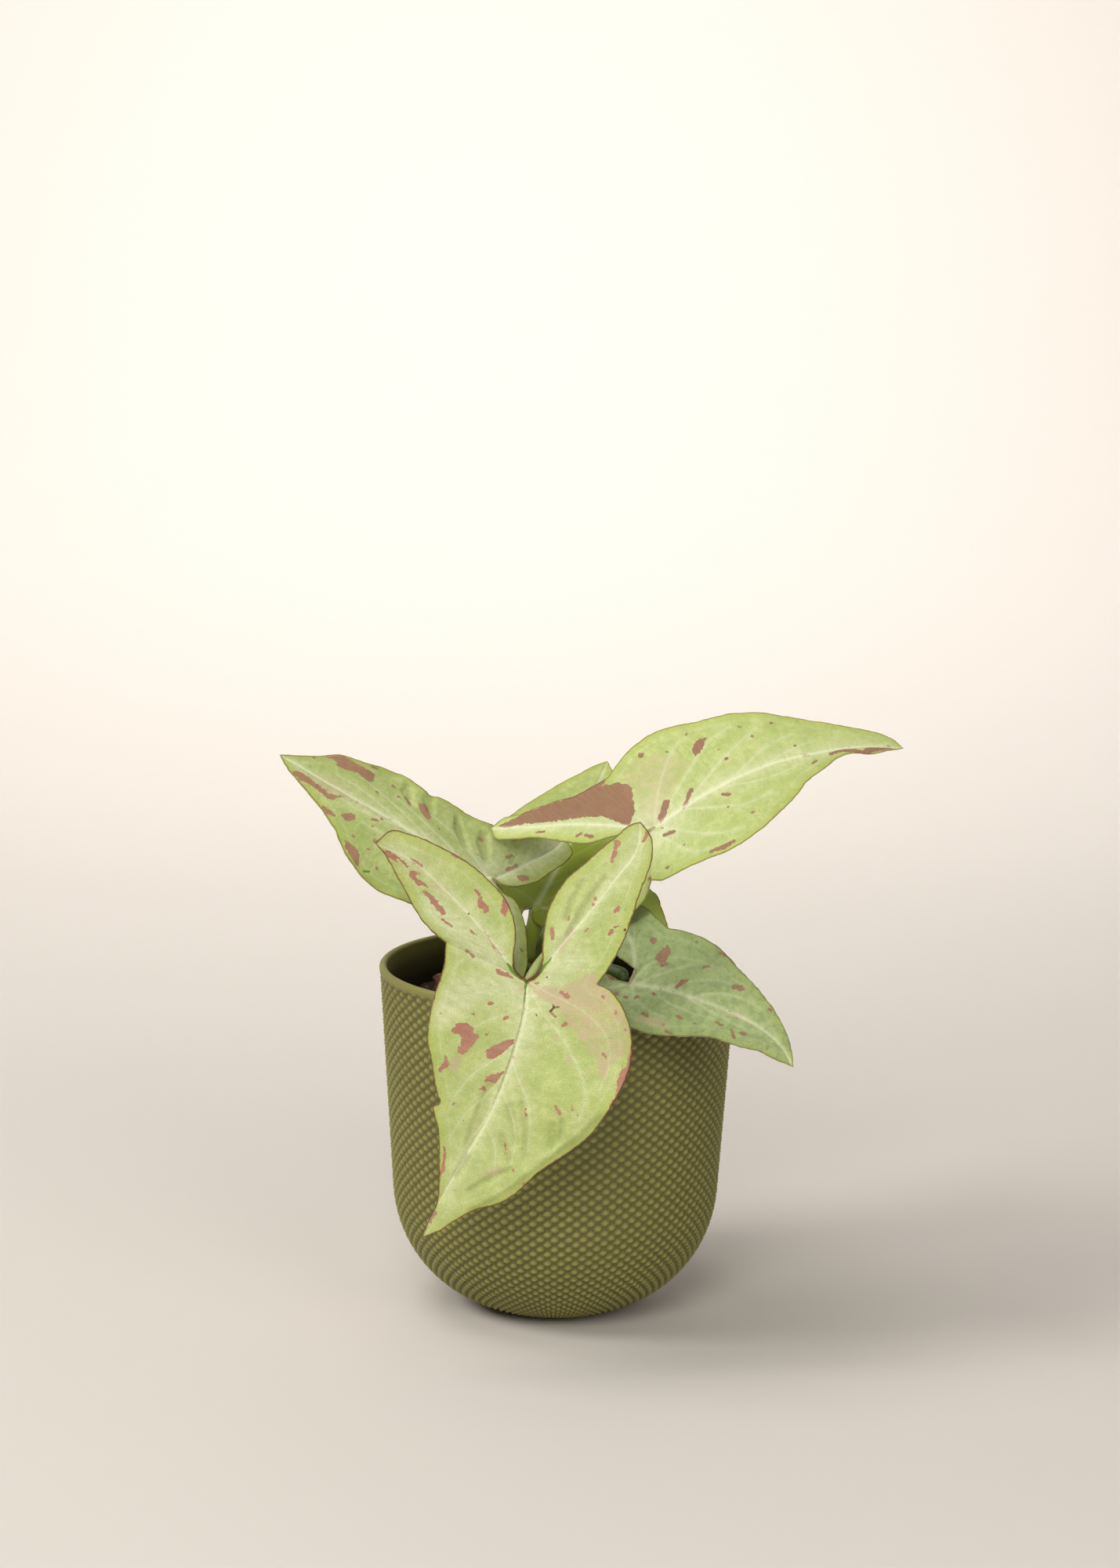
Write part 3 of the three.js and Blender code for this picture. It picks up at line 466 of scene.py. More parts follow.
LOWER_RIGHT = {
    "at": (26.7, -65, 144.9), "heading": 116, "rise": -12, "roll": 38,
    "droop": 0.45, "lobe_droop": 1.2, "fold": 5,
    "wave": {"height": 0.6, "length": 30, "phase": 0.9},
    "midrib": [(0, 0), (-3, 13.6), (-4, 25), (-5, 41), (-4.2, 54), (-1.4, 63), (3.9, 70.3)],
    "plus": {
        "rib": [(0, 0), (5, -6), (9, -15), (12, -26)],
        "inner": [(0, 0), (0.4, -5), (-0.6, -10), (1.5, -18), (6, -24), (12, -26)],
        "outer": [(18.3, 2), (18.5, -5), (18, -13), (16, -21), (12, -26)],
        "edge": [
            (18.3, 2), (19, 10), (18.3, 18.7), (14.2, 28.3), (8.9, 38.2), (7.3, 48), (5.2, 55), (4.6, 64),
            (3.9, 70.3),
        ],
    },
    "minus": {
        "rib": [(0, 0), (-9, -2.5), (-17, -8), (-22, -15.5), (-25, -25)],
        "inner": [(0, 0), (-5.5, -0.7), (-7, -4), (-9.1, -9.4), (-13, -17), (-18, -23), (-25, -25)],
        "outer": [
            (-27.5, 2.5), (-29.8, -3.4), (-32.3, -8.5), (-33.3, -13.5), (-32.2, -19), (-29, -23.5),
            (-25, -25),
        ],
        "edge": [
            (-27.5, 2.5), (-29.3, 11), (-28.9, 17), (-27.2, 23.5), (-23.1, 33.6), (-18.9, 43.5),
            (-14.3, 52.3), (-10, 58.8), (-5.4, 63.8), (-0.6, 67.8), (3.9, 70.3),
        ],
    },
    "stalk": {
        "path": [
            (-11.4, -2.4, 121), (-4.8, -8.2, 125), (3.5, -23, 135), (10, -42.5, 144.4),
            (15.7, -54.8, 147.6), (22.4, -58.9, 147), (26, -61.2, 146),
        ],
        "radii": (2.9, 2.6),
    },
    "veins": [
        [(-1.5, 1), (-10.5, 3.5), (-16.5, 10.5), (-19, 20.5)],
        [(-1.5, 3.5), (-9.5, 10.5), (-16.5, 18.5), (-19.5, 28.5)],
        [(-1.5, 11.5), (-9.5, 20.5), (-15, 31), (-15, 39)],
        [(-3.5, 23.5), (-9.5, 32), (-12, 42), (-11, 50)], [(1, 1.5), (6, 6), (9, 13.5), (9, 20)],
        [(-1, 8.5), (2, 16.5), (2.5, 26.5), (1, 35.5)], [(-3, 24), (-1.5, 32.5), (-1, 42.5), (-1, 51)],
    ],
    "marks": [
        [(-11.5, 8, 0.7), (-12.5, 9, 0.7)], [(-5, 17, 0.6), (-7.5, 18, 1.2), (-9.5, 19.5, 0.6)],
        [(-17, 22.5, 0.6), (-18.5, 24, 0.5)], [(-15, 36.5, 0.9), (-15.5, 38.5, 1.2), (-16, 40, 0.5)],
        [(-25, 25, 0.4), (-25.5, 27, 0.8)], [(-26.5, 15, 0.6)], [(1, 11, 0.8)], [(5, 5.5, 0.8)],
        [(7, 2, 0.8)], [(7, -2, 0.9)], [(11, 11.5, 0.6), (11.5, 13.5, 0.6)],
        [(6.5, 23.5, 0.5), (6.5, 25, 0.5)], [(14.5, 23, 0.6), (14.5, 25, 0.5)], [(12.5, 20.5, 0.5)],
        [(8, 34.5, 0.5)], [(6, 30.5, 0.4)], [(2, 37.5, 0.5), (2, 39.5, 0.4)],
        [(1.5, 47, 0.7), (1, 48.5, 0.7)], [(2, 43.5, 0.3), (4.5, 46, 0.4)],
        [(-13, 51.5, 0.4), (-12.5, 53, 0.3)], [(2.5, 58.5, 0.4)], [(0.5, -8.5, 0.7), (1, -6.5, 0.7)],
    ],
    "blush": [
        [(14, 11.5, 1.5), (12, 20, 1.8)], [(-4.5, 39.5, 0.8), (-5.5, 47, 0.8)],
    ],
    "patches": [
        [(-20.4, 5.6), (-20, 7), (-18, 8), (-13, 8), (-12.4, 6.2), (-12.8, 4.6), (-14.8, 3.8)],
        [(-21.8, -0.6), (-21, 1.2), (-19.4, 1), (-18.4, 0.4), (-19.4, -1.2), (-21, -1.8)],
    ],
}
LEAVES = {
    "front": FRONT,
    "upper_right": UPPER_RIGHT,
    "upper_left": UPPER_LEFT,
    "back": BACK,
    "lower_right": LOWER_RIGHT,
}

# How each leaf looks. tint_and_shade is the colour it leans to: on the back and upper left leaves
# painted shade, on the lower right leaf partly its own bluish green and partly painted shade; near
# and far give distances from the joint in millimetres and how far it leans there. soft widens its
# veins and calms its folds; veins, ridge (the midrib) and halo are how pale they are; mottle is how
# patchy the green is; blush and mark are how strong its blush and its marks are; blur and dusk
# soften and dull them; freckles and rim are how strong its freckles and margin line are; stalk is a
# colour and how pale it ends, and its dark colour on the upper right and lower right leaves is
# painted shade.
LEAF_LOOKS = {
    "front": {
        "tint_and_shade": (0.60, 0.65, 0.24), "near": (0, 0.0), "far": (100, 0.1), "soft": 1, "veins": 0.36,
        "ridge": 0.75, "halo": 1.0, "mottle": 0.3, "blush": 0.78, "mark": 0.95, "blur": 0, "dusk": 0.0,
        "freckles": 0.15, "rim": 0.85, "stalk": ((0.22, 0.28, 0.06), 0.5),
    },
    "upper_right": {
        "tint_and_shade": (0.60, 0.66, 0.25), "near": (0, 0.0), "far": (100, 0.1), "soft": 2.1, "veins": 0.3,
        "ridge": 0.7, "halo": 1.0, "mottle": 0.08, "blush": 0.45, "mark": 0.92, "blur": 0.08, "dusk": 0.42,
        # Dark stalk colour on this line: painted shade.
        "freckles": 0.2, "rim": 0.5, "stalk": ((0.09, 0.13, 0.015), 0.1),
    },
    "upper_left": {
        # Dark green tint near the joint: painted shade.
        "tint_and_shade": (0.22, 0.28, 0.07), "near": (10, 0.25), "far": (42, 0.0), "soft": 2.1, "veins": 0.35,
        "ridge": 0.6, "halo": 1.0, "mottle": 0.15, "blush": 0.5, "mark": 0.88, "blur": 0.15, "dusk": 0.2,
        "freckles": 0.4, "rim": 0.6, "stalk": ((0.16, 0.20, 0.03), 0.2),
    },
    "back": {
        # Dark olive tint over the lower middle: painted shade.
        "tint_and_shade": (0.20, 0.26, 0.012), "near": (40, 1.0), "far": (64, 0.05), "soft": 2.6, "veins": 0.06,
        "ridge": 0.3, "halo": 0.2, "mottle": 0.1, "blush": 0.5, "mark": 0.7, "blur": 0.3, "dusk": 0.5,
        "freckles": 0.0, "rim": 0.4, "stalk": ((0.22, 0.28, 0.02), 0.2),
    },
    "lower_right": {
        # Darker bluish green: partly the leaf's own colour, partly painted shade.
        "tint_and_shade": (0.27, 0.355, 0.15), "near": (0, 0.85), "far": (85, 0.5), "soft": 2.4, "veins": 0.22,
        "ridge": 0.35, "halo": 0.85, "mottle": 0.5, "blush": 0.5, "mark": 0.85, "blur": 0.25, "dusk": 0.5,
        # Near-black stalk colour on this line: painted shade.
        "freckles": 0.5, "rim": 0.45, "stalk": ((0.03, 0.06, 0.004), 0.0),
    },
}

# ---- stage, metres and degrees ----
AIM = (0, 0, 0.12)
LIGHTS = {
    "key": {"size": 1.0, "at": (-0.3, -1.85, 1.4), "aim": AIM, "colour": (1.0, 0.97, 0.92)},
    "side": {"size": 0.8, "at": (-1.5, -0.6, 1.4), "aim": AIM, "colour": (1.0, 0.97, 0.92)},
    "fill": {"size": 1.0, "at": (1.0, -1.6, 0.9), "aim": AIM, "colour": (1.0, 0.96, 0.90)},
    "top": {"size": 1.0, "at": (-0.5, 0.1, 1.6), "aim": AIM, "colour": (1.0, 0.97, 0.93)},
    "wash": {
        "size": 1.4, "at": (0, 0.5, 2.0), "aim": (0, 1.5, 0.6), "colour": (1.0, 0.97, 0.94),
        "spread": 80,
    },
}
SKY = (1.0, 0.95, 0.87)
CAMERA = {"at": (-0.0003, -1.4137, 0.4652), "down": 10.3, "roll": 0.8, "lens": 85, "sensor": 36}
SHEET = {
    "half_width": 4,
    "section": [(-3, 0), (0.6, 0), (1, 0.02), (1.3, 0.14), (1.5, 0.45), (1.56, 1), (1.6, 3)],
}


# ---- settings ----
def colour_property(name, description, default):
    return FloatVectorProperty(
        name=name, description=description, default=default, subtype="COLOR", size=3, min=0, max=1
    )


def length_property(name, description, default):
    return FloatProperty(
        name=name, description=description, default=default, unit="LENGTH", precision=5, min=0
    )


def power_property(name, description, default):
    return FloatProperty(name=name, description=description, default=default, min=0)


class LeafSettings(bpy.types.PropertyGroup):
    thickness: length_property("Thickness", "Blade thickness at the midrib", 0.8 * MM)
    margin_thickness: length_property("Margin thickness", "Blade thickness at its edge", 0.3 * MM)
    cell: length_property("Cell size", "Spacing of the blade's mesh along the midrib", 0.55 * MM)
    groove: length_property("Midrib groove", "Depth of the groove over the midrib", 0.4 * MM)
    vein_depth: length_property("Vein depth", "Depth of the side veins", 0.14 * MM)
    quilting: length_property("Quilting", "Soft folds between the side veins", 0.9 * MM)
    lime: colour_property("Lime", "Ground colour of the blade", (0.545, 0.612, 0.24))
    apple: colour_property("Apple green", "Greener streaks in the ground colour", (0.345, 0.46, 0.115))
    cream: colour_property("Cream", "Veins and their pale surround", (0.80, 0.82, 0.585))
    mauve: colour_property("Mauve", "Crisp marks", (0.44, 0.182, 0.13))
    blush: colour_property("Blush", "Soft pink washes", (0.56, 0.415, 0.28))
    web: colour_property("Web", "Bright green where the lobes join", (0.10, 0.27, 0.012))
    scar: colour_property("Scar", "Small dark scratches", (0.14, 0.08, 0.03))
    crease: colour_property("Crease", "Shade in folds", (0.20, 0.215, 0.05))
    # Painted shadow in the groove along the midrib.
    line: colour_property("Line", "Olive line along the midrib", (0.27, 0.30, 0.085))
    # Partly the margin's own yellow green, partly painted shade where the blade turns away.
    edge: colour_property("Edge", "Yellow green towards the margin", (0.40, 0.47, 0.055))
    rim: colour_property("Margin", "Thin dark line along the margin", (0.13, 0.04, 0.02))
    underside: colour_property("Underside", "Back of the blade", (0.42, 0.49, 0.22))


class StalkSettings(bpy.types.PropertyGroup):
    green: colour_property("Stem green", "Short stem between the stalks", (0.15, 0.19, 0.03))
    pale: colour_property("Pale", "Joint between stalk and blade", (0.30, 0.34, 0.10))
    flush: colour_property("Flush", "Reddish edge of the sheath", (0.13, 0.045, 0.02))
    bark: colour_property("Stem", "Short main stem", (0.20, 0.21, 0.07))


class PotSettings(bpy.types.PropertyGroup):
    bumps: IntProperty(
        name="Bumps", description="Bumps round the pot in one row", default=72, min=3, max=200
    )
    row_height: length_property("Row height", "Height of one row of bumps", 4.2 * MM)
    relief: length_property("Relief", "Depth between the bumps", 1.25 * MM)
    plain_band: length_property("Plain band", "Smooth band under the rim", 1.0 * MM)
    glaze: colour_property("Glaze", "Matt olive glaze", (0.235, 0.222, 0.060))
    # Painted shade: a near-black colour laid over the inside below the rim.
    painted_inside_shade: colour_property("Painted_shade_inside", "Dark inside below the rim", (0.010, 0.009, 0.003))


class SoilSettings(bpy.types.PropertyGroup):
    lumps: IntProperty(name="Lumps", description="Loose lumps on the soil", default=240, min=0)
    soil: colour_property("Soil", "Damp potting mix", (0.045, 0.030, 0.018))
    bark: colour_property("Bark", "Bark chip", (0.32, 0.15, 0.07))


class StageSettings(bpy.types.PropertyGroup):
    paper: colour_property("Paper", "Floor and backdrop", (0.66, 0.625, 0.59))
    key: power_property("Key light", "Power of the front light", 19.6)
    side: power_property("Side light", "Power of the left light", 21)
    fill: power_property("Fill light", "Power of the right light", 10)
    top: power_property("Top light", "Power of the light overhead", 8)
    wash: power_property("Backdrop light", "Power on the backdrop", 9.5)
    sky: power_property("Sky", "Strength of the even light", 0.13)


# ---- node helpers ----
def new_material(name):
    """An empty material with its output node."""
    made = bpy.data.materials.new(name)
    made.use_nodes = True
    made.node_tree.nodes.clear()
    add_node(made, "ShaderNodeOutputMaterial")
    return made


def add_node(made, kind, inputs=None, **settings):
    """A node with its settings; each input takes a socket or a plain value."""
    node = made.node_tree.nodes.new(kind)
    for key, value in settings.items():
        setattr(node, key, value)
    for key, value in (inputs or {}).items():
        if isinstance(value, bpy.types.NodeSocket):
            made.node_tree.links.new(value, node.inputs[key])
        else:
            node.inputs[key].default_value = value
    return node


def maths(made, operation, *values):
    node = add_node(made, "ShaderNodeMath", dict(enumerate(values)), operation=operation)
    return node.outputs[0]


def ramp(made, value, low, high, start=0.0, end=1.0):
    """Smooth step of a value from low to high."""
    node = add_node(
        made,
        "ShaderNodeMapRange",
        {"Value": value, "From Min": low, "From Max": high, "To Min": start, "To Max": end},
        interpolation_type="SMOOTHSTEP",
    )
    return node.outputs["Result"]


def mix(made, factor, under, over):
    node = add_node(
        made,
        "ShaderNodeMix",
        {"Factor": factor, "A": solid(under), "B": solid(over)},
        data_type="RGBA",
    )
    return node.outputs["Result"]


def scaled(colour, factor, lift=0.0):
    """A colour made darker or lighter."""
    return tuple(min(1, value * factor + lift) for value in colour)


def solid(colour):
    """A colour with its alpha, or a socket as it is."""
    if isinstance(colour, bpy.types.NodeSocket):
        return colour
    return (*colour[:3], 1.0)


def object_place(made):
    """Where a point lies on the object, for noise that keeps its size."""
    return add_node(made, "ShaderNodeTexCoord").outputs["Object"]


def field(made, name):
    """A number stored on the mesh."""
    return add_node(made, "ShaderNodeAttribute", attribute_name=name).outputs["Fac"]


def spots(made, where, size, detail=2.0, roughness=0.5):
    """Noise whose blotches are about size millimetres across."""
    node = add_node(
        made,
        "ShaderNodeTexNoise",
        {"Vector": where, "Scale": 1000 / size, "Detail": detail, "Roughness": roughness},
    )
    return node.outputs["Fac"]


def finish(made, colour, roughness, height, strength, distance, **more):
    """The surface shader, with its bump in millimetres, joined to the output."""
    bump = add_node(
        made, "ShaderNodeBump", {"Height": height, "Strength": strength, "Distance": distance * MM}
    )
    inputs = {"Base Color": solid(colour), "Roughness": roughness, "Normal": bump.outputs["Normal"]}
    shader = add_node(made, "ShaderNodeBsdfPrincipled", {**inputs, **more})
    output = made.node_tree.nodes["Material Output"]
    made.node_tree.links.new(shader.outputs["BSDF"], output.inputs["Surface"])
    return made


# ---- mesh helpers ----
def lengths_along(points):
    """Distance of each point of a line from its start."""
    return np.concatenate([[0], np.cumsum(np.linalg.norm(np.diff(points, axis=0), axis=1))])


def equal_steps(points, count):
    """The same line cut into count equal lengths."""
    length = lengths_along(points)
    at = np.linspace(0, length[-1], count + 1)
    return np.stack([np.interp(at, length, axis) for axis in points.T], axis=1)


def smooth_curve(keys, count, fine=24):
    """Centripetal Catmull-Rom curve through the keys, cut into equal lengths."""
    keys = np.array(keys, float)
    keys = np.vstack([2 * keys[0] - keys[1], keys, 2 * keys[-1] - keys[-2]])
    pieces = []
    for p in zip(keys, keys[1:], keys[2:], keys[3:]):
        gaps = [math.sqrt(np.linalg.norm(b - a)) for a, b in zip(p, p[1:])]
        t0, t1, t2, t3 = np.concatenate([[0], np.cumsum(gaps)])
        t = np.linspace(t1, t2, fine, endpoint=False)[:, None]
        a = (p[0] * (t1 - t) + p[1] * (t - t0)) / (t1 - t0)
        b = (p[1] * (t2 - t) + p[2] * (t - t1)) / (t2 - t1)
        c = (p[2] * (t3 - t) + p[3] * (t - t2)) / (t3 - t2)
        d = (a * (t2 - t) + b * (t - t0)) / (t2 - t0)
        e = (b * (t3 - t) + c * (t - t1)) / (t3 - t1)
        pieces.append((d * (t2 - t) + e * (t - t1)) / (t2 - t1))
    return equal_steps(np.vstack([*pieces, keys[-2:-1]]), count)


def bell(distance, width):
    """1 at no distance, falling off smoothly over a width."""
    return np.exp(-((distance / width) ** 2))


def smooth_step(value, low, high):
    """0 up to low, 1 from high on, eased between them."""
    t = np.clip((value - low) / (high - low), 0, 1)
    return t * t * (3 - 2 * t)


def waver(x, y, seed):
    """Soft noise between about -1 and 1 at each point."""
    return np.array([noise.noise(Vector((a, b, seed))) for a, b in zip(x, y)])


def nearest_index(points, group):
    """Index of the nearest point of a group, and the distance to it, for each flat point."""
    tree = kdtree.KDTree(len(group))
    for i, (x, y) in enumerate(group):
        tree.insert((x, y, 0), i)
    tree.balance()
    found = [tree.find((x, y, 0)) for x, y in points]
    return np.array([f[1] for f in found]), np.array([f[2] for f in found])


def finish_mesh(bm, name):
    """The mesh object of a bmesh, smooth shaded, with its faces outwards."""
    bmesh.ops.recalc_face_normals(bm, faces=bm.faces)
    mesh = bpy.data.meshes.new(name)
    bm.to_mesh(mesh)
    bm.free()
    mesh.polygons.foreach_set("use_smooth", [True] * len(mesh.polygons))
    piece = bpy.data.objects.new(name, mesh)
    bpy.context.collection.objects.link(piece)
    return piece


def dress(piece, points, made, node):
    """Sets a piece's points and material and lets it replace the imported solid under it."""
    set_coordinates(piece.data, points)
    piece.data.materials.append(made)
    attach(piece, "root")
    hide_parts(node)


def coordinates(mesh):
    flat = np.empty(len(mesh.vertices) * 3, np.float32)
    mesh.vertices.foreach_get("co", flat)
    return flat.reshape(-1, 3).astype(float)


def set_coordinates(mesh, points):
    mesh.vertices.foreach_set("co", (points * MM).astype(np.float32).ravel())
    mesh.update()


def store(mesh, name, values):
    layer = mesh.attributes.new(name, "FLOAT", "POINT")
    layer.data.foreach_set("value", values.astype(np.float32))


def stored(mesh, name):
    values = np.empty(len(mesh.vertices), np.float32)
    mesh.attributes[name].data.foreach_get("value", values)
    return values.astype(float)


def spin_profile(bm, profile, steps):
    """A closed shell of revolution from a profile that starts and ends on the axis."""
    chain = [bm.verts.new((r, 0, z)) for r, z in profile]
    edges = [bm.edges.new(pair) for pair in zip(chain, chain[1:])]
    bmesh.ops.spin(
        bm, geom=chain + edges, cent=(0, 0, 0), axis=(0, 0, 1), dvec=(0, 0, 0),
        angle=math.tau, steps=steps, use_merge=True, use_duplicate=False,
    )
    bmesh.ops.remove_doubles(bm, verts=bm.verts, dist=1e-4)


# ---- leaves ----
def blade_frame(leaf):
    """The stalk joint and the across, along and face directions of a leaf's plane."""
    heading, rise, roll = (math.radians(leaf[key]) for key in ("heading", "rise", "roll"))
    flat = math.cos(rise)
    along = Vector((math.sin(heading) * flat, math.cos(heading) * flat, math.sin(rise)))
    up = (Vector((0, 0, 1)) - along * along.z).normalized()
    face = up * math.cos(roll) + along.cross(up) * math.sin(roll)
    return [np.array(v) for v in (Vector(leaf["at"]), along.cross(face), along, face)]


def bend_blade(leaf, x, y, lift):
    """Places plane points on the bent blade, lifted off its middle surface."""
    at, across, along, face = blade_frame(leaf)
    bend = np.where(y >= 0, leaf["droop"], leaf["lobe_droop"]) / 100
    angle = bend * y
    wave = leaf["wave"]
    phase = wave["phase"] + np.where(x > 0, 0, WAVE_SHIFT)
    ripple = wave["height"] * np.sin(y / wave["length"] * math.tau + phase) * (x / WAVE_REACH) ** 2
    fold = math.tan(math.radians(leaf["fold"])) * (np.hypot(x, FOLD_ROUND) - FOLD_ROUND)
    h = fold + ripple + lift
    forward = np.sin(angle) / bend + np.sin(angle) * h
    upward = np.cos(angle) * h - (1 - np.cos(angle)) / bend
    return at + x[:, None] * across + forward[:, None] * along + upward[:, None] * face


def add_patch(bm, spine, margin, rows, columns, way, side):
    """A grid stretched between a spine curve and a margin curve, with its rows and columns kept."""
    start = smooth_curve(spine, rows)
    end = smooth_curve(margin, rows)
    row_of, column_of = (bm.verts.layers.float[key] for key in ("row", "column"))
    step = math.dist(start[0], start[1])
    made = bmesh.ops.create_grid(bm, x_segments=columns, y_segments=rows, size=0.5)
    for vert in made["verts"]:
        row = round((vert.co.y + 0.5) * rows)
        across = vert.co.x + 0.5
        vert[row_of] = way * row * step
        vert[column_of] = side * across * math.dist(start[row], end[row])
        vert.co = (*(start[row] * (1 - across) + end[row] * across), 0)


def blade_sheet(leaf, cell):
    """Closed flat sheet of a leaf, its underside marked by z of -1."""
    bm = bmesh.new()
    for key in ("row", "column"):
        bm.verts.layers.float.new(key)
    wide = max(abs(x) for side in ("plus", "minus") for x, _ in leaf[side]["edge"])
    columns = round(wide / cell * 0.72)
    rows = round(leaf["midrib"][-1][1] / cell)
    for side, sign in (("plus", 1), ("minus", -1)):
        half = leaf[side]
        lobe_rows = round(np.hypot(*half["rib"][-1]) / cell)
        add_patch(bm, leaf["midrib"], half["edge"], rows, columns, 1, sign)
        add_patch(bm, half["rib"], half["outer"], lobe_rows, columns, -1, sign)
        add_patch(bm, half["rib"], half["inner"], lobe_rows, round(columns * 0.4), -1, -sign)
    bmesh.ops.remove_doubles(bm, verts=bm.verts, dist=WELD)
    under = bmesh.ops.extrude_face_region(bm, geom=bm.faces[:], use_keep_orig=True)
    for item in under["geom"]:
        if isinstance(item, bmesh.types.BMVert):
            item.co.z = -1
    return bm


def nearest(points, curves):
    """Distance from each point to a group of curves, and how far along its curve that is."""
    share = np.concatenate([np.linspace(0, 1, len(curve)) for curve in curves])
    index, away = nearest_index(points[:, :2], np.vstack(curves))
    return away, share[index]


def dense(keys, spacing=0.25):
    """A curve through the keys with a point at about every spacing millimetres."""
    keys = [key[:2] for key in keys]
    length = sum(math.dist(a, b) for a, b in zip(keys, keys[1:]))
    return smooth_curve(keys, max(4, round(length / spacing)))


def inside_strokes(points, strokes):
    """Depth in millimetres of each point inside the nearest stroke, negative outside."""
    depth = np.full(len(points), -FAR)
    for stroke in strokes:
        for (ax, ay, aw), (bx, by, bw) in zip(stroke, stroke[1:] or stroke):
            start = np.array([ax, ay])
            run = np.array([bx - ax, by - ay])
            reach = max(run @ run, 1e-9)
            t = np.clip((points[:, :2] - start) @ run / reach, 0, 1)
            away = np.linalg.norm(points[:, :2] - start - t[:, None] * run, axis=1)
            depth = np.maximum(depth, aw + (bw - aw) * t - away)
    return depth


def inside_outlines(points, outlines):
    """Depth in millimetres of each point inside the nearest closed outline, negative outside."""
    depth = np.full(len(points), -FAR)
    x, y = points[:, 0], points[:, 1]
    for outline in outlines:
        away = np.full(len(points), FAR)
        within = np.zeros(len(points), bool)
        for (ax, ay), (bx, by) in zip(outline, outline[1:] + outline[:1]):
            run = np.array([bx - ax, by - ay])
            t = np.clip(((x - ax) * run[0] + (y - ay) * run[1]) / (run @ run), 0, 1)
            away = np.minimum(away, np.hypot(x - ax - t * run[0], y - ay - t * run[1]))
            if ay != by:
                crossing = ax + (y - ay) * (bx - ax) / (by - ay)
                within ^= ((ay > y) != (by > y)) & (x < crossing)
        depth = np.maximum(depth, np.where(within, away, -away))
    return depth


def ruled_veins(rib, margin, starts, ahead, belly, lean, stop):
    """Side veins that leave a rib at the starts and reach the share stop of their way to a margin.

    They aim at a point of the margin that lies ahead, and bulge along the rib by lean.
    """
    rib = dense(rib)
    last = len(rib) - 1
    rim = smooth_curve(margin, last)
    made = []
    for start in starts:
        a = rib[round(start * last)]
        run = rim[round(min(start + ahead, 1) * last)] - a
        made.append([a, a + belly * run + lean * (rib[-1] - rib[0]), a + stop * run])
    return made


def lobe_veins(half):
    """Short side veins on both sides of a lobe's rib."""
    made = []
    for side in ("outer", "inner"):
        made += ruled_veins(half["rib"], half[side], (0.16, 0.34, 0.52, 0.70), 0.2, 0.55, 0.02, 0.84)
    return made


def main_veins(leaf):
    """Side veins of a leaf whose own are not given."""
    starts = (0.02, 0.16, 0.32, 0.50, 0.68)
    made = []
    for side in ("plus", "minus"):
        made += ruled_veins(leaf["midrib"], leaf[side]["edge"], starts, 0.26, 0.5, -0.03, 0.86)
    return made


def vein_width(kind, share=0.0, soft=1.0):
    """Half width of a kind of vein part of the way along it."""
    start, end = VEIN_WIDTHS[kind]
    return soft * (start + (end - start) * share)


def pale_reach(kind, distance):
    """How pale the surround of a kind of vein is at a distance from it."""
    return np.exp(-distance / HALO[kind])


def vein_fields(leaf, points, soft):
    """Midrib, side veins and the pale surround of both; soft widens them."""
    halves = [leaf["plus"], leaf["minus"]]
    rims = [dense(half[side], 0.15) for half in halves for side in ("edge", "outer", "inner")]
    margin, _ = nearest(points, rims)
    spine, along = nearest(points, [dense(leaf["midrib"])])
    ribs, out = nearest(points, [dense(half["rib"]) for half in halves])
    given = leaf.get("veins") or main_veins(leaf)
    veins, tip = nearest(points, [dense(vein) for vein in given])
    small, far = nearest(points, [dense(vein) for half in halves for vein in lobe_veins(half)])
    reach = np.hypot(points[:, 0], points[:, 1])
    midrib = bell(spine, vein_width("midrib", along, soft))
    hollow = bell(spine, vein_width("midrib_hollow", along))
    side = bell(veins, vein_width("side", soft=soft)) * (1 - 0.5 * tip)
    side = np.maximum(side, 0.5 * bell(small, vein_width("small", soft=soft)) * (1 - 0.6 * far))
    halo = np.maximum(pale_reach("midrib", spine) * (1 - 0.5 * along), 0.8 * pale_reach("rib", ribs))
    halo = np.maximum(halo, 0.5 * pale_reach("side", veins) * (1 - 0.5 * tip))
    return {
        "margin": margin - 0.55 * bell(reach, 9),
        "midrib": np.maximum(midrib, 0.8 * bell(ribs, vein_width("rib", out, soft))),
        "hollow": np.maximum(hollow, 0.7 * bell(ribs, vein_width("rib_hollow"))),
        "veins": np.maximum(side, 0.35 * bell(margin - BORDER_VEIN, vein_width("border"))),
        "halo": np.maximum(halo, 0.9 * bell(reach, HALO["joint"])),
        "reach": reach,
    }


def blade_fields(leaf, points, soft):
    """Everything about a blade's surface that follows its veins, marks and margin."""
    fields = vein_fields(leaf, points, soft)
    for key in ("marks", "blush", "webs", "rims", "lines", "bloom", "creases", "scars"):
        fields[key] = inside_strokes(points, leaf.get(key, []))
    for key, outlines in (("marks", "patches"), ("blush", "washes")):
        fields[key] = np.maximum(fields[key], inside_outlines(points, leaf.get(outlines, [])))
    fields["halo"] = np.maximum(fields["halo"], 0.75 * smooth_step(fields["bloom"], -6, 3))
    return fields


def fold_noise(kind, x, y):
    """Noise of one kind of soft fold."""
    long, wide, seed = FOLDS[kind]
    return waver(x / long, y / wide, seed)


def folds(points, row, column):
    """Soft folds that run out along the side veins, and lengthwise in the lobes."""
    main = fold_noise("main", row, column)
    lobe = fold_noise("lobe", row, column)
    broad = fold_noise("broad", points[:, 0], points[:, 1])
    share = smooth_step(row, -8, 4)
    return 0.55 * (main * share + 0.5 * lobe * (1 - share)) + 0.45 * broad


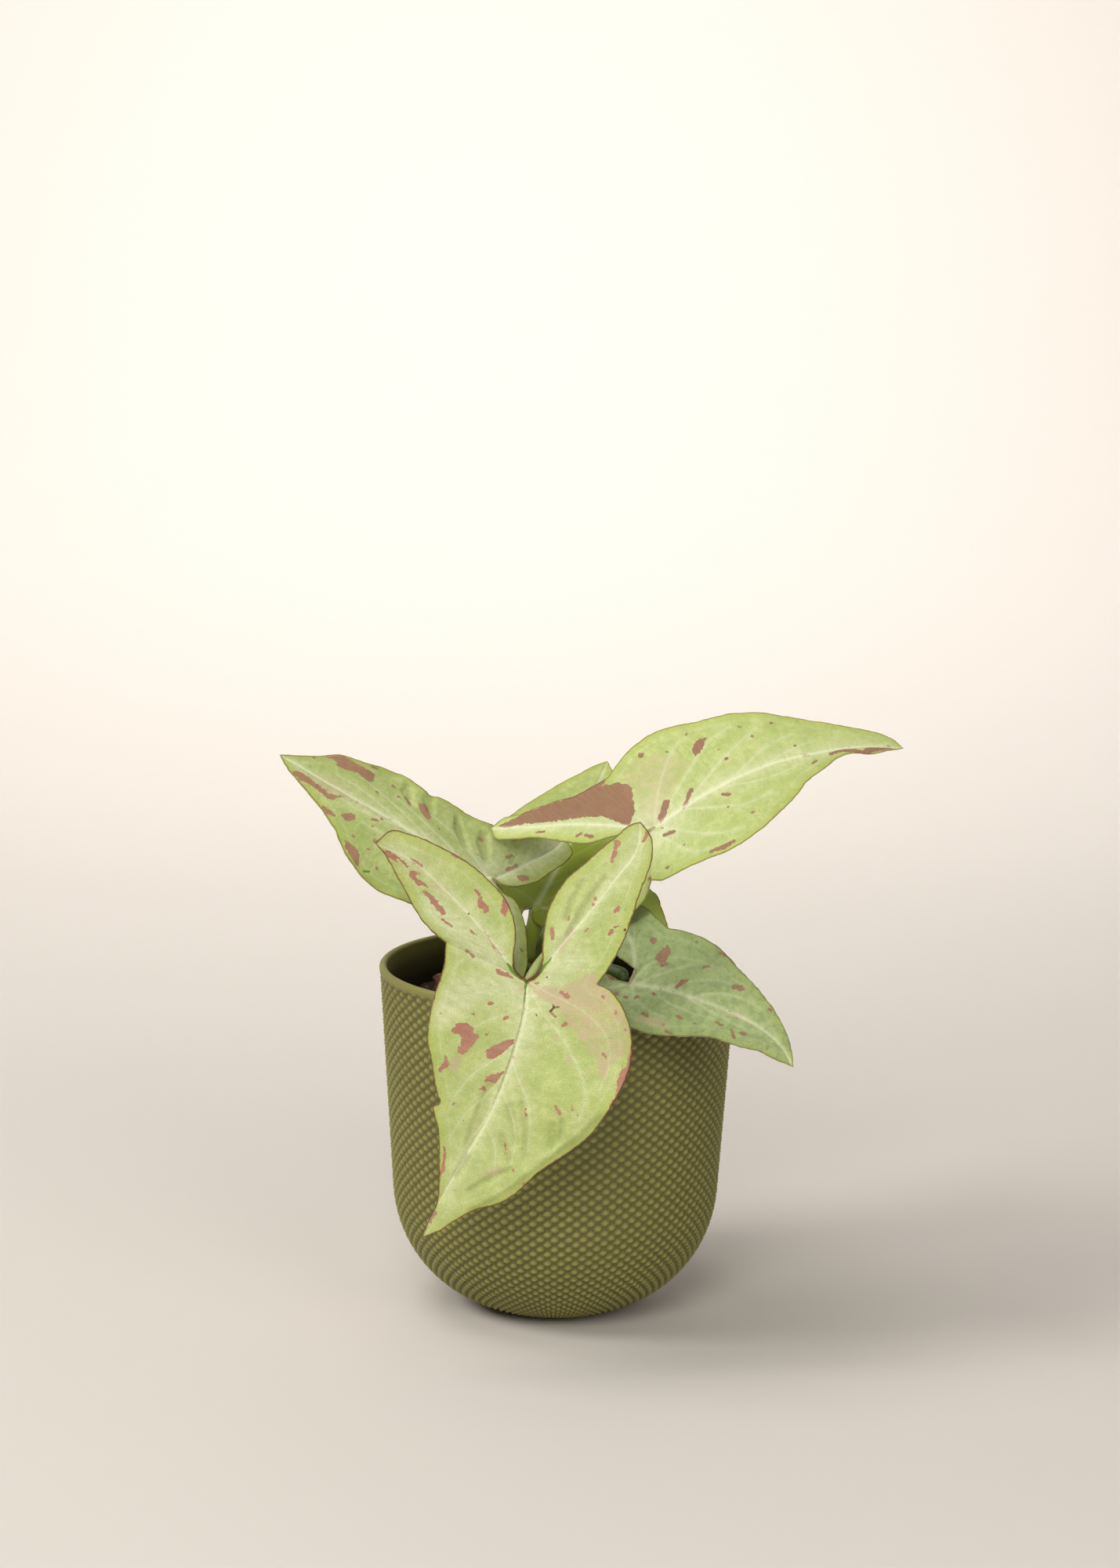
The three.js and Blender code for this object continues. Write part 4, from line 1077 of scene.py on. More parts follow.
def blade_surface(leaf, fields, points, settings, calm):
    """Thickness, relief and bend of a flat sheet; calm flattens its folds."""
    edge = smooth_step(fields["margin"], 0, THINNING)
    thick = settings.margin_thickness + (settings.thickness - settings.margin_thickness) * edge
    quilt = folds(points, fields["row"], fields["column"]) * (1 - 0.8 * fields["hollow"])
    quilt = quilt * (settings.quilting / MM / calm)
    quilt = quilt - 0.8 * smooth_step(fields["creases"], -1.8, 0.5)
    groove = settings.groove / MM * (0.5 * fields["midrib"] + fields["hollow"])
    groove = groove + settings.vein_depth / MM * fields["veins"]
    groove = groove * smooth_step(fields["margin"], 0, VEINS_END)
    above = thick / MM / 2 - groove
    below = -thick / MM / 2 - 1.1 * groove
    x, y = worn_margin(fields["margin"], points)
    return bend_blade(leaf, x, y, np.where(fields["under"] > 0, below, above) + quilt)


def worn_margin(margin, points):
    """Plane points with a slightly wavering margin."""
    x, y = points[:, 0], points[:, 1]
    near = WORN["shift"] * np.exp(-margin / WORN["reach"])
    shifts = []
    for seed in (1.5, 11.5):
        fine = waver(x / WORN["fine"], y / WORN["fine"], seed)
        shifts.append(near * (fine + waver(x / WORN["broad"], y / WORN["broad"], seed + 3)))
    return x + shifts[0], y + shifts[1]


def map_blade(mesh, points, under):
    """Flat map of the blade, the underside beside the upper face."""
    corner = np.empty(len(mesh.loops), np.int32)
    mesh.loops.foreach_get("vertex_index", corner)
    across = points[:, 0] / MAP_SIZE + 0.25 + 0.5 * under
    flat = np.stack([across, points[:, 1] / MAP_SIZE + 0.35], 1)
    mesh.uv_layers.new(name="blade").uv.foreach_set("vector", flat[corner].ravel())


def grain_place(made, row_size, column_size):
    """Where a point lies on the blade's own grid, for noise stretched along its rows."""
    row = maths(made, "DIVIDE", field(made, "row"), row_size)
    column = maths(made, "DIVIDE", field(made, "column"), column_size)
    return add_node(made, "ShaderNodeCombineXYZ", {"X": row, "Y": column}).outputs["Vector"]


def streak_noise(made):
    """Long streaks that follow the rows of the blade."""
    inputs = {"Vector": grain_place(made, 2.2, 9), "Scale": 1.0, "Detail": 4.0, "Roughness": 0.6}
    return add_node(made, "ShaderNodeTexNoise", inputs).outputs["Fac"]


def ragged_edge(made, where):
    """Uneven, angular shift of a mark's edge, in millimetres."""
    cells = add_node(made, "ShaderNodeTexVoronoi", {"Vector": where, "Scale": 1000 / 1.2})
    patchy = add_node(made, "ShaderNodeSeparateColor", {"Color": cells.outputs["Color"]})
    cell = maths(made, "MULTIPLY_ADD", patchy.outputs["Red"], 0.6, -0.22)
    fine = maths(made, "MULTIPLY_ADD", spots(made, where, 1.6, 3, 0.65), 0.9, -0.4)
    return maths(made, "ADD", cell, fine)


def cell_net(made, row_size, column_size, line):
    """A fine net that follows the blade's own grid: 0 on its lines, 1 between them."""
    cells = add_node(
        made, "ShaderNodeTexVoronoi",
        {"Vector": grain_place(made, row_size, column_size), "Scale": 1.0, "Randomness": 0.9},
        feature="DISTANCE_TO_EDGE", voronoi_dimensions="2D",
    )
    return ramp(made, cells.outputs["Distance"], 0.0, line)


# What every layer of a blade's colour works from.
Skin = namedtuple("Skin", "made settings looks where streak ragged grain net pale mark")


def leaf_skin(name, settings, looks):
    """An empty blade material with the noises and masks that its layers share."""
    made = new_material(name)
    where = object_place(made)
    streak = streak_noise(made)
    ragged = ragged_edge(made, where)
    grain = spots(made, where, 0.42, 2)
    net = cell_net(made, 0.75, 1.0, 0.14)
    pale = maths(made, "MULTIPLY", field(made, "halo"), ramp(made, streak, 0.3, 0.62, 0.95, 0.6))
    depth = maths(made, "ADD", ragged, field(made, "marks"))
    mark = ramp(made, depth, -0.05 - looks["blur"], 0.1 + looks["blur"], 0.0, looks["mark"])
    return Skin(made, settings, looks, where, streak, ragged, grain, net, pale, mark)


def ground_colour(skin):
    """Lime with greener streaks and flecks, pale round the veins, and yellow green at the margin, partly
    its own colour and partly painted shade where the blade turns away.
    """
    made, settings = skin.made, skin.settings
    broad = ramp(made, spots(made, skin.where, 9, 4, 0.62), 0.38, 0.64, 0, 0.6)
    colour = mix(made, broad, settings.lime, settings.apple)
    colour = mix(made, ramp(made, skin.streak, 0.46, 0.7, 0, 0.5), colour, settings.apple)
    flecks = ramp(made, spots(made, skin.where, 2.4, 4, 0.6), 0.42, 0.66, 0, 0.5)
    colour = mix(made, flecks, colour, settings.apple)
    colour = mix(made, maths(made, "MULTIPLY", skin.pale, skin.looks["halo"]), colour, settings.cream)
    # Yellow green margin band: partly its own colour, partly painted shade.
    border = maths(made, "MULTIPLY_ADD", skin.streak, 2.5, field(made, "margin"))
    return mix(made, ramp(made, border, 1.2, 5.6, 0.62, 0), colour, settings.edge)


def net_over(skin, colour):
    """A fine green net, pale grain and a coarser pale net."""
    made, settings, soft = skin.made, skin.settings, skin.looks["soft"]
    dull = maths(made, "MULTIPLY", skin.net, ramp(made, skin.grain, 0.35, 0.65, 0.6, 1))
    colour = mix(made, ramp(made, dull, 0, 1, 0.38 / soft, 0), colour, settings.apple)
    colour = mix(made, ramp(made, skin.grain, 0.5, 0.75, 0, 0.28), colour, settings.cream)
    coarse = cell_net(made, 2.6, 4.5, 0.06)
    return mix(made, ramp(made, coarse, 0, 1, 0.16 / soft**3, 0), colour, settings.cream)


def tint_over(skin, colour):
    """The leaf's tint by the distance from its joint, painted shade on some leaves, with darker mottling.
    """
    made, looks = skin.made, skin.looks
    (near, near_lean), (far, far_lean) = looks["near"], looks["far"]
    lean = ramp(made, field(made, "reach"), near, far, near_lean, far_lean)
    lean = maths(made, "MULTIPLY_ADD", maths(made, "MULTIPLY", skin.pale, -0.4 * looks["halo"]), lean, lean)
    colour = mix(made, lean, colour, looks["tint_and_shade"])
    mottle = ramp(made, spots(made, skin.where, 3.2, 5, 0.68), 0.42, 0.6, 0, looks["mottle"])
    return mix(made, mottle, colour, scaled(looks["tint_and_shade"], 0.72))


def blush_over(skin, colour):
    """Soft pink washes, broken by blotches and by the streaks of the blade."""
    made = skin.made
    soft = maths(made, "MULTIPLY_ADD", skin.ragged, 1.6, field(made, "blush"))
    wash = ramp(made, soft, -0.7, 0.9, 0.0, skin.looks["blush"])
    blotches = ramp(made, spots(made, skin.where, 7, 5, 0.7), 0.36, 0.56, 0.4, 1)
    wash = maths(made, "MULTIPLY", wash, blotches)
    wash = maths(made, "MULTIPLY", wash, ramp(made, skin.streak, 0.38, 0.62, 1.0, 0.72))
    return mix(made, wash, colour, skin.settings.blush)


def strokes_over(skin, colour, key, paint, strength, edges):
    """Paints the strokes kept in a field over a colour."""
    depth = maths(skin.made, "MULTIPLY_ADD", skin.ragged, 0.3, field(skin.made, key))
    return mix(skin.made, ramp(skin.made, depth, *edges, 0, strength), colour, paint)


def veins_over(skin, colour):
    """Shade in the creases, then the pale side veins."""
    colour = strokes_over(skin, colour, "creases", skin.settings.crease, 0.22, (-1.7, 0.9))
    veins = maths(skin.made, "MULTIPLY", field(skin.made, "veins"), skin.looks["veins"])
    return mix(skin.made, veins, colour, skin.settings.cream)


def marks_over(skin, colour):
    """Crisp dull pink marks, mottled and streaked, then the pale midrib."""
    made, settings, looks = skin.made, skin.settings, skin.looks
    dark = ramp(made, spots(made, skin.where, 6, 4, 0.65), 0.35, 0.65, 0, 0.6)
    body = mix(made, dark, settings.mauve, scaled(settings.mauve, 0.78))
    body = mix(made, ramp(made, skin.grain, 0.45, 0.7, 0, 0.18), body, settings.blush)
    body = mix(made, ramp(made, skin.streak, 0.4, 0.65, 0, 0.22), body, settings.blush)
    body = mix(made, looks["dusk"], body, (0.13, 0.07, 0.035))
    colour = mix(made, skin.mark, colour, body)
    ridge = maths(made, "MULTIPLY", field(made, "midrib"), looks["ridge"])
    return mix(made, ridge, colour, settings.cream)


def lines_over(skin, colour):
    """The painted shadow in the midrib's groove, green skin between the lobes, scratches and freckles."""
    settings = skin.settings
    colour = strokes_over(skin, colour, "lines", settings.line, 0.6, (-0.2, 0.1))
    colour = strokes_over(skin, colour, "webs", settings.web, 0.9, (-0.2, 0.15))
    colour = strokes_over(skin, colour, "scars", settings.scar, 1.0, (-0.15, 0.15))
    freckles = spots(skin.made, skin.where, 1.5, 1, 0.3)
    freckles = ramp(skin.made, freckles, 0.70, 0.76, 0, skin.looks["freckles"])
    return mix(skin.made, freckles, colour, settings.web)


def rim_over(skin, colour):
    """The thin dark line along the margin."""
    made, rim = skin.made, skin.settings.rim
    border = maths(made, "MULTIPLY_ADD", skin.ragged, 0.2, field(made, "margin"))
    colour = mix(made, ramp(made, border, 0.2, 0.8, skin.looks["rim"], 0), colour, rim)
    return strokes_over(skin, colour, "rims", rim, 0.9, (-0.15, 0.15))


def underside_over(skin, colour):
    """Dull back of the blade, with pale veins and a hint of the marks."""
    made, settings = skin.made, skin.settings
    veins = maths(made, "MULTIPLY", field(made, "veins"), 0.5)
    back = mix(made, veins, settings.underside, settings.cream)
    back = mix(made, maths(made, "MULTIPLY", field(made, "midrib"), 0.6), back, settings.cream)
    back = mix(made, maths(made, "MULTIPLY", skin.mark, 0.35), back, settings.mauve)
    return mix(made, field(made, "under"), colour, back)


def leaf_material(name, settings, looks):
    """Freckled blade: lime streaks, pale veins, blush, crisp marks and a dark margin line."""
    skin = leaf_skin(name, settings, looks)
    colour = ground_colour(skin)
    layers = (
        net_over, tint_over, blush_over, veins_over, marks_over, lines_over, rim_over, underside_over,
    )
    for layer in layers:
        colour = layer(skin, colour)
    made, grain = skin.made, skin.grain
    height = maths(made, "MULTIPLY_ADD", skin.streak, 1.2, grain)
    height = maths(made, "MULTIPLY_ADD", skin.net, 0.6, height)
    rough = ramp(made, grain, 0.2, 0.8, 0.52, 0.66)
    flesh = {"Specular IOR Level": 0.22, "Subsurface Weight": 0.08, "Subsurface Scale": 0.002}
    return finish(made, colour, rough, height, 0.8, 0.18, **flesh)


def add_leaf(name, settings):
    """One blade: its sheet, the fields on it, its relief and bend, and its colours."""
    leaf, looks = LEAVES[name], LEAF_LOOKS[name]
    cell = settings.cell / MM * 1
    piece = finish_mesh(blade_sheet(leaf, cell), f"blade_{name}")
    points = coordinates(piece.data)
    flat, spread = np.unique(points[:, :2].round(3), axis=0, return_inverse=True)
    fields = blade_fields(leaf, flat, looks["soft"])
    fields = {key: values[spread.ravel()] for key, values in fields.items()}
    fields["under"] = (points[:, 2] < -0.5).astype(float)
    map_blade(piece.data, points, fields["under"])
    for key, values in fields.items():
        store(piece.data, key, values)
    for key in ("row", "column"):
        fields[key] = stored(piece.data, key)
    points = blade_surface(leaf, fields, points, settings, looks["soft"])
    made = leaf_material(f"leaf_{name}", settings, looks)
    dress(piece, points, made, f"leaf_{name}")


# ---- stem and stalks ----
def rod(path, radii, swell, groove, sides=28, spacing=0.8):
    """A tapered rod along a path, with rounded ends and a groove down its upper side."""
    length = sum(math.dist(a, b) for a, b in zip(path, path[1:]))
    rings = max(12, round(length / spacing))
    points = [Vector(p) for p in smooth_curve(path, rings)]
    bm = bmesh.new()
    sunk = bm.verts.layers.float.new("groove")
    loop = bmesh.ops.create_circle(bm, cap_ends=True, radius=1, segments=sides)["verts"]
    across = Vector((1, 0, 0))
    for i, point in enumerate(points):
        if i:
            loop = extrude_ring(bm, loop)
        ahead = (points[min(i + 1, rings)] - points[max(i - 1, 0)]).normalized()
        across = (across - ahead * across.dot(ahead)).normalized()
        top = ahead.cross(across)
        share = i / rings
        end = min(i, rings - i) * length / rings
        radius = radii[0] + (radii[1] - radii[0]) * share + swell(share)
        radius *= math.sqrt(max(0.02, 1 - max(0, 1 - end / radius) ** 2))
        for k, vert in enumerate(loop):
            turn = k / sides * math.tau
            vert[sunk] = groove(share) * bell(math.remainder(turn - math.pi / 2, math.tau), 0.5)
            reach = radius * (1 - vert[sunk])
            vert.co = point + (across * math.cos(turn) + top * math.sin(turn)) * reach
    bmesh.ops.edgeloop_fill(bm, edges=ring_edges(loop))
    return bm


def extrude_ring(bm, loop):
    """The next ring of a rod, its points in the same order."""
    grown = set(bmesh.ops.extrude_edge_only(bm, edges=ring_edges(loop))["geom"])
    return [
        next(edge.other_vert(vert) for edge in vert.link_edges if edge.other_vert(vert) in grown)
        for vert in loop
    ]


def ring_edges(loop):
    inside = set(loop)
    return list({edge for vert in loop for edge in vert.link_edges if set(edge.verts) <= inside})


def stalk_material(name, settings, green, light):
    """Smooth fleshy stalk, paler where it meets the blade, with a flushed sheath."""
    made = new_material(name)
    where = object_place(made)
    streaks = spots(made, where, 3, 3)
    colour = mix(made, ramp(made, streaks, 0.3, 0.7, 0, 0.04 + 0.2 * light), green, settings.pale)
    ends = ramp(made, field(made, "share"), 0.55, 1.0, light * 0.4, light)
    colour = mix(made, ends, colour, settings.pale)
    colour = mix(made, maths(made, "MULTIPLY", field(made, "groove"), 0.6), colour, settings.flush)
    return finish(made, colour, 0.45, spots(made, where, 0.6), 0.2, 0.1)


def stem_material(settings):
    """Green stem with brown scars where old leaves stood."""
    made = new_material("stem")
    where = object_place(made)
    colour = mix(made, ramp(made, spots(made, where, 4, 4), 0.4, 0.7), settings.green, settings.bark)
    colour = mix(made, ramp(made, field(made, "scar"), 0.3, 0.9), colour, (0.09, 0.06, 0.03))
    return finish(made, colour, 0.6, spots(made, where, 0.8), 0.4, 0.2)


def add_stem(settings):
    """The short upright stem, with a swollen ring at each node."""
    nodes = (0.30, 0.52, 0.74, 0.93)

    def ring(share):
        return sum(bell(share - node, 0.03) for node in nodes)

    bm = rod(STEM["path"], STEM["radii"], lambda share: 0.35 * ring(share), lambda share: 0)
    piece = finish_mesh(bm, "main_stem")
    points = coordinates(piece.data)
    low, high = STEM["path"][0][2], STEM["path"][-1][2]
    share = np.clip((points[:, 2] - low) / (high - low), 0, 1)
    store(piece.data, "scar", ring(share))
    dress(piece, points, stem_material(settings), "stem")


def add_stalks(settings):
    """The five leaf stalks: sheathed at the foot, with a joint under the blade."""
    for name, leaf in LEAVES.items():
        path = leaf["stalk"]["path"]
        bm = rod(path, leaf["stalk"]["radii"], stalk_swell, stalk_groove)
        piece = finish_mesh(bm, f"stalk_{name}")
        points = coordinates(piece.data)
        below, above = (np.linalg.norm(points - np.array(end), axis=1) for end in (path[0], path[-1]))
        store(piece.data, "share", below / (below + above))
        made = stalk_material(f"stalk_{name}", settings, *LEAF_LOOKS[name]["stalk"])
        dress(piece, points, made, f"petiole_{name}")


def stalk_swell(share):
    """Swollen joint under the blade and wide sheath at the foot."""
    return 0.3 * bell(share - 0.93, 0.06) + 0.5 * bell(share, 0.2)


def stalk_groove(share):
    """Groove of the sheath, which closes towards the blade."""
    return 0.3 * (1 - share) ** 1.5


# ---- pot ----
def belly_curve(offset, lift, steps):
    """From the flat foot to the straight wall, moved in by offset and up by lift."""
    foot_x, foot_y = POT["foot_bulge"]
    belly_x, belly_y = POT["belly_bulge"]
    keys = [
        (POT["foot_radius"] - offset * 0.6, lift),
        (foot_x - offset * 0.6, foot_y + lift),
        (belly_x - offset, belly_y + lift * 0.7),
        (POT["belly_radius"] - offset, POT["belly_height"] + lift * 0.4),
    ]
    t = np.linspace(0, 1, steps + 1)[:, None]
    p = [np.array(key) for key in keys]
    return (1 - t) ** 3 * p[0] + 3 * t * (1 - t) ** 2 * p[1] + 3 * t**2 * (1 - t) * p[2] + t**3 * p[3]


def pot_profile(spacing):
    """Half section of the pot: foot, belly, wall, rounded lip, inner wall and floor."""
    lip = POT["wall"] / 2
    rim = np.array([POT["rim_radius"] - lip, POT["height"] - lip])
    outside = np.vstack([belly_curve(0, 0, 200), [[POT["rim_radius"], rim[1]]]])
    outside = equal_steps(outside, round(lengths_along(outside)[-1] / spacing))
    turns = np.linspace(0, math.pi, 9)[1:]
    edge = [rim + lip * np.array([math.cos(turn), math.sin(turn)]) for turn in turns]
    inside = belly_curve(POT["wall"], POT["floor"], 6)[::-1]
    middle = [edge[-1] + (inside[0] - edge[-1]) * share for share in (0.03, 0.08, 0.15, 0.4)]
    return np.vstack([[[0, 0], [12, 0]], outside, edge, middle, inside, [[0, POT["floor"]]]]), outside


def knurl(points, outside, settings):
    """Presses the grooves between staggered bumps; returns the bump pattern, which also places the painted
    groove shade and top highlight, and the mask of painted shade inside.
    """
    radius = np.hypot(points[:, 0], points[:, 1])
    length = lengths_along(outside)
    slope = np.gradient(outside, axis=0)
    slope /= np.linalg.norm(slope, axis=1)[:, None]
    row, away = nearest_index(np.stack([radius, points[:, 2]], 1), outside)
    on_face = away < 0.01
    u = np.arctan2(points[:, 1], points[:, 0]) / math.tau * settings.bumps
    v = length[row] / (settings.row_height / MM)
    bump = np.abs(np.cos(math.pi * (u + v)) * np.cos(math.pi * (u - v))) ** BUMP_POWER
    band = length[-1] - settings.plain_band / MM
    fade = smooth_step(length[row], 0.5, 5) * (1 - smooth_step(length[row], band - 2, band))
    depth = settings.relief / MM * (1 - bump) * fade * on_face
    outward = points[:, :2] / np.maximum(radius, 1e-6)[:, None] * slope[row, 1:]
    # Mask of painted shade over the inside wall and floor, fading in below the rim.
    inside_shade_mask = smooth_step(away, 0.5, 1.5) * (points[:, 2] > 0.5)
    inside_shade_mask = inside_shade_mask * smooth_step(POT["height"] - points[:, 2], 1, 12)
    points[:, :2] -= outward * depth[:, None]
    points[:, 2] += slope[row, 0] * depth
    return np.where(on_face, PLAIN + fade * (bump - PLAIN), PLAIN), inside_shade_mask


def pot_material(settings):
    """Matt olive glaze, with a painted highlight on the bump tops, painted shade in the grooves between
    them and painted shade inside.
    """
    made = new_material("olive_glaze")
    where = object_place(made)
    cloud = ramp(made, spots(made, where, 30, 3), 0.3, 0.7)
    painted_groove_shade = scaled(settings.glaze, 0.46)
    painted_top_highlight = scaled(settings.glaze, 1.2, 0.02)
    colour = mix(made, cloud, settings.glaze, scaled(settings.glaze, 1.12))
    # Painted highlight on the bump tops, then painted shade in the grooves.
    colour = mix(made, ramp(made, field(made, "bump"), 0.5, 0.95, 0, 0.8), colour, painted_top_highlight)
    colour = mix(made, ramp(made, field(made, "bump"), 0.05, 0.75, 0.95, 0), colour, painted_groove_shade)
    # Painted shade inside the pot.
    colour = mix(made, maths(made, "MULTIPLY", field(made, "inside"), 0.97), colour, settings.painted_inside_shade)
    fine = spots(made, where, 0.7, 3)
    rough = ramp(made, fine, 0.2, 0.8, 0.52, 0.64)
    return finish(made, colour, rough, fine, 0.25, 0.06, **{"Specular IOR Level": 0.35})


def add_pot(settings):
    bm = bmesh.new()
    profile, outside = pot_profile(settings.row_height / MM / ROW_STEPS * COARSER)
    spin_profile(bm, profile, settings.bumps * BUMP_STEPS // COARSER)
    piece = finish_mesh(bm, "cover_pot")
    points = coordinates(piece.data)
    bump, inside_shade_mask = knurl(points, outside, settings)
    store(piece.data, "bump", bump)
    store(piece.data, "inside", inside_shade_mask)
    dress(piece, points, pot_material(settings), "pot")


# ---- soil ----
def soil_height(x, y):
    """Height of the uneven soil, mounded round the stem."""
    ripple = math.sin(x * 0.21 + 0.8) * math.cos(y * 0.17 - 0.4) + math.sin(x * 0.09 - y * 0.13)
    from_stem = math.hypot(x - STEM["path"][1][0], y - STEM["path"][1][1])
    mound = SOIL["mound"] * math.exp(-((from_stem / SOIL["mound_reach"]) ** 2))
    crumb = noise.fractal(Vector((x / SOIL["crumb_size"], y / SOIL["crumb_size"], 2)), 0.6, 2.2, 5)
    return SOIL["level"] + SOIL["relief"] * ripple + mound + SOIL["crumb"] * crumb


def inner_radius(z):
    """Radius of the pot's inner wall at a height."""
    slope = (POT["rim_radius"] - POT["belly_radius"]) / (POT["height"] - POT["belly_height"])
    return POT["rim_radius"] - POT["wall"] - slope * (POT["height"] - z)


def soil_body(rings, steps):
    """The filling of the pot with an uneven top."""
    gap = SOIL["gap"]
    wide = inner_radius(SOIL["level"]) - gap
    side = belly_curve(POT["wall"] + gap, POT["floor"] + gap, 6)
    top = [(wide * (1 - i / rings), SOIL["level"]) for i in range(rings + 1)]
    bm = bmesh.new()
    spin_profile(bm, [(0, POT["floor"] + gap), *side, *top], steps)
    for vert in bm.verts:
        if vert.co.z > SOIL["level"] - 1:
            vert.co.z = soil_height(vert.co.x, vert.co.y)
    return bm


def scatter_lumps(bm, count):
    """Loose lumps half sunk into the soil."""
    rng = random.Random(5)
    wide = inner_radius(SOIL["level"])
    for _ in range(count):
        size = LUMPS["least"] + LUMPS["more"] * rng.random() ** 2.2
        reach = (wide - size - LUMPS["bare_edge"]) * math.sqrt(rng.random())
        turn = rng.random() * math.tau
        x, y = reach * math.cos(turn), reach * math.sin(turn)
        made = bmesh.ops.create_icosphere(bm, subdivisions=2 if size > 1 else 1, radius=size)
        squash = Matrix.Diagonal((rng.uniform(0.7, 1.3), rng.uniform(0.6, 1), rng.uniform(0.5, 0.8), 1))
        spin = Matrix.Rotation(rng.random() * math.tau, 4, "Z") @ Matrix.Rotation(rng.random(), 4, "X")
        seed = Vector((x, y, 0))
        for vert in made["verts"]:
            vert.co *= 1 + LUMPS["dents"] * noise.noise(vert.co / size * 1.4 + seed)
        at = Matrix.Translation((x, y, soil_height(x, y) + size * LUMPS["lift"]))
        bmesh.ops.transform(bm, matrix=at @ spin @ squash, verts=made["verts"])


def soil_material(settings):
    """Dark peat with lighter crumbs and fibres."""
    made = new_material("potting_soil")
    where = object_place(made)
    crumbs = spots(made, where, 1.6, 4, 0.65)
    light = scaled(settings.soil, 2.6)
    colour = mix(made, ramp(made, crumbs, 0.45, 0.75), settings.soil, light)
    fleck = ramp(made, spots(made, where, 2.6, 2), 0.66, 0.72, 0, 0.7)
    colour = mix(made, fleck, colour, settings.bark)
    return finish(made, colour, 0.95, crumbs, 0.8, 0.7)


def add_soil(settings):
    bm = soil_body(88 // COARSER, 144 // COARSER)
    scatter_lumps(bm, settings.lumps // COARSER)
    piece = finish_mesh(bm, "potting_mix")
    dress(piece, coordinates(piece.data), soil_material(settings), "soil")


def chip_sheet():
    """Outline of the bark flake, upright, as a row of points."""
    width, height = CHIP["size"]
    keys = [
        (-0.5 * width, 0), (-0.2 * width, -0.2), (0.15 * width, 0.4), (0.5 * width, 0.6),
        (0.52 * width, 0.45 * height), (0.3 * width, 0.86 * height), (0, 0.97 * height),
        (-0.42 * width, 0.78 * height), (-0.36 * width, 0.4 * height),
    ]
    return smooth_curve([*keys, keys[0]], 56)[:-1]


def chip_body():
    """A rough flake of bark in flat layers, standing upright."""
    bm = bmesh.new()
    ring = [bm.verts.new((x, 0, z)) for x, z in chip_sheet()]
    bm.faces.new(ring)
    middle = bmesh.ops.poke(bm, faces=bm.faces[:])["verts"][0]
    spokes = middle.link_edges[:]
    bmesh.ops.subdivide_edges(bm, edges=spokes, cuts=7, use_grid_fill=True)
    front = bmesh.ops.extrude_face_region(bm, geom=bm.faces[:], use_keep_orig=True)["geom"]
    thick = CHIP["thickness"]
    raised = {item for item in front if isinstance(item, bmesh.types.BMVert)}
    for vert in bm.verts:
        side = -1 if vert in raised else 1
        layer = 0.35 * noise.noise(Vector((vert.co.x / 5, vert.co.z / 1.1, side)))
        vert.co.y = side * thick * 0.5 * (0.72 + layer)
    return bm


def bark_material(settings):
    """Reddish bark with dark grain."""
    made = new_material("pine_bark")
    where = object_place(made)
    grain = spots(made, where, 2.0, 4, 0.7)
    dark = (0.10, 0.025, 0.012)
    colour = mix(made, ramp(made, grain, 0.35, 0.65), dark, settings.bark)
    return finish(made, colour, 0.85, grain, 0.8, 0.4)


def add_chip(settings):
    bm = chip_body()
    x, y = CHIP["at"]
    lean = Matrix.Rotation(math.radians(-CHIP["lean"]), 4, "X")
    turn = Matrix.Rotation(math.radians(CHIP["turn"]), 4, "Z")
    at = Matrix.Translation((x, y, SOIL["level"] + CHIP["lift"]))
    bmesh.ops.transform(bm, matrix=at @ turn @ lean, verts=bm.verts)
    piece = finish_mesh(bm, "bark_flake")
    dress(piece, coordinates(piece.data), bark_material(settings), "bark_chip")


# ---- stage ----
def paper_material(settings):
    made = new_material("paper")
    where = object_place(made)
    return finish(made, settings.paper, 0.9, spots(made, where, 8), 0.02, 0.1)


def add_backdrop(settings):
    """A pale sheet that runs along the floor and curves up behind the plant."""
    wide = SHEET["half_width"]
    bm = bmesh.new()
    chain = [bm.verts.new((-wide, y, max(z, 0))) for y, z in smooth_curve(SHEET["section"], 80)]
    edges = [bm.edges.new(pair) for pair in zip(chain, chain[1:])]
    grown = bmesh.ops.extrude_edge_only(bm, edges=edges)["geom"]
    far = [item for item in grown if isinstance(item, bmesh.types.BMVert)]
    bmesh.ops.translate(bm, vec=(2 * wide, 0, 0), verts=far)
    piece = finish_mesh(bm, "backdrop")
    piece.data.materials.append(paper_material(settings))


def add_light(name, power, lamp):
    """One soft round lamp aimed at the plant or the backdrop."""
    light = bpy.data.lights.new(name, "AREA")
    light.shape = "DISK"
    light.energy = power
    light.size = lamp["size"]
    light.color = lamp["colour"]
    light.spread = math.radians(lamp.get("spread", 180))
    hung = bpy.data.objects.new(name, light)
    hung.location = lamp["at"]
    aim = Vector(lamp["aim"]) - Vector(lamp["at"])
    hung.rotation_euler = aim.to_track_quat("-Z", "Y").to_euler()
    bpy.context.collection.objects.link(hung)


def add_lights(settings):
    for name, lamp in LIGHTS.items():
        add_light(name, getattr(settings, name), lamp)
    world = bpy.data.worlds.new("studio")
    world.use_nodes = True
    sky = world.node_tree.nodes["Background"]
    sky.inputs["Color"].default_value = solid(SKY)
    sky.inputs["Strength"].default_value = settings.sky
    bpy.context.scene.world = world


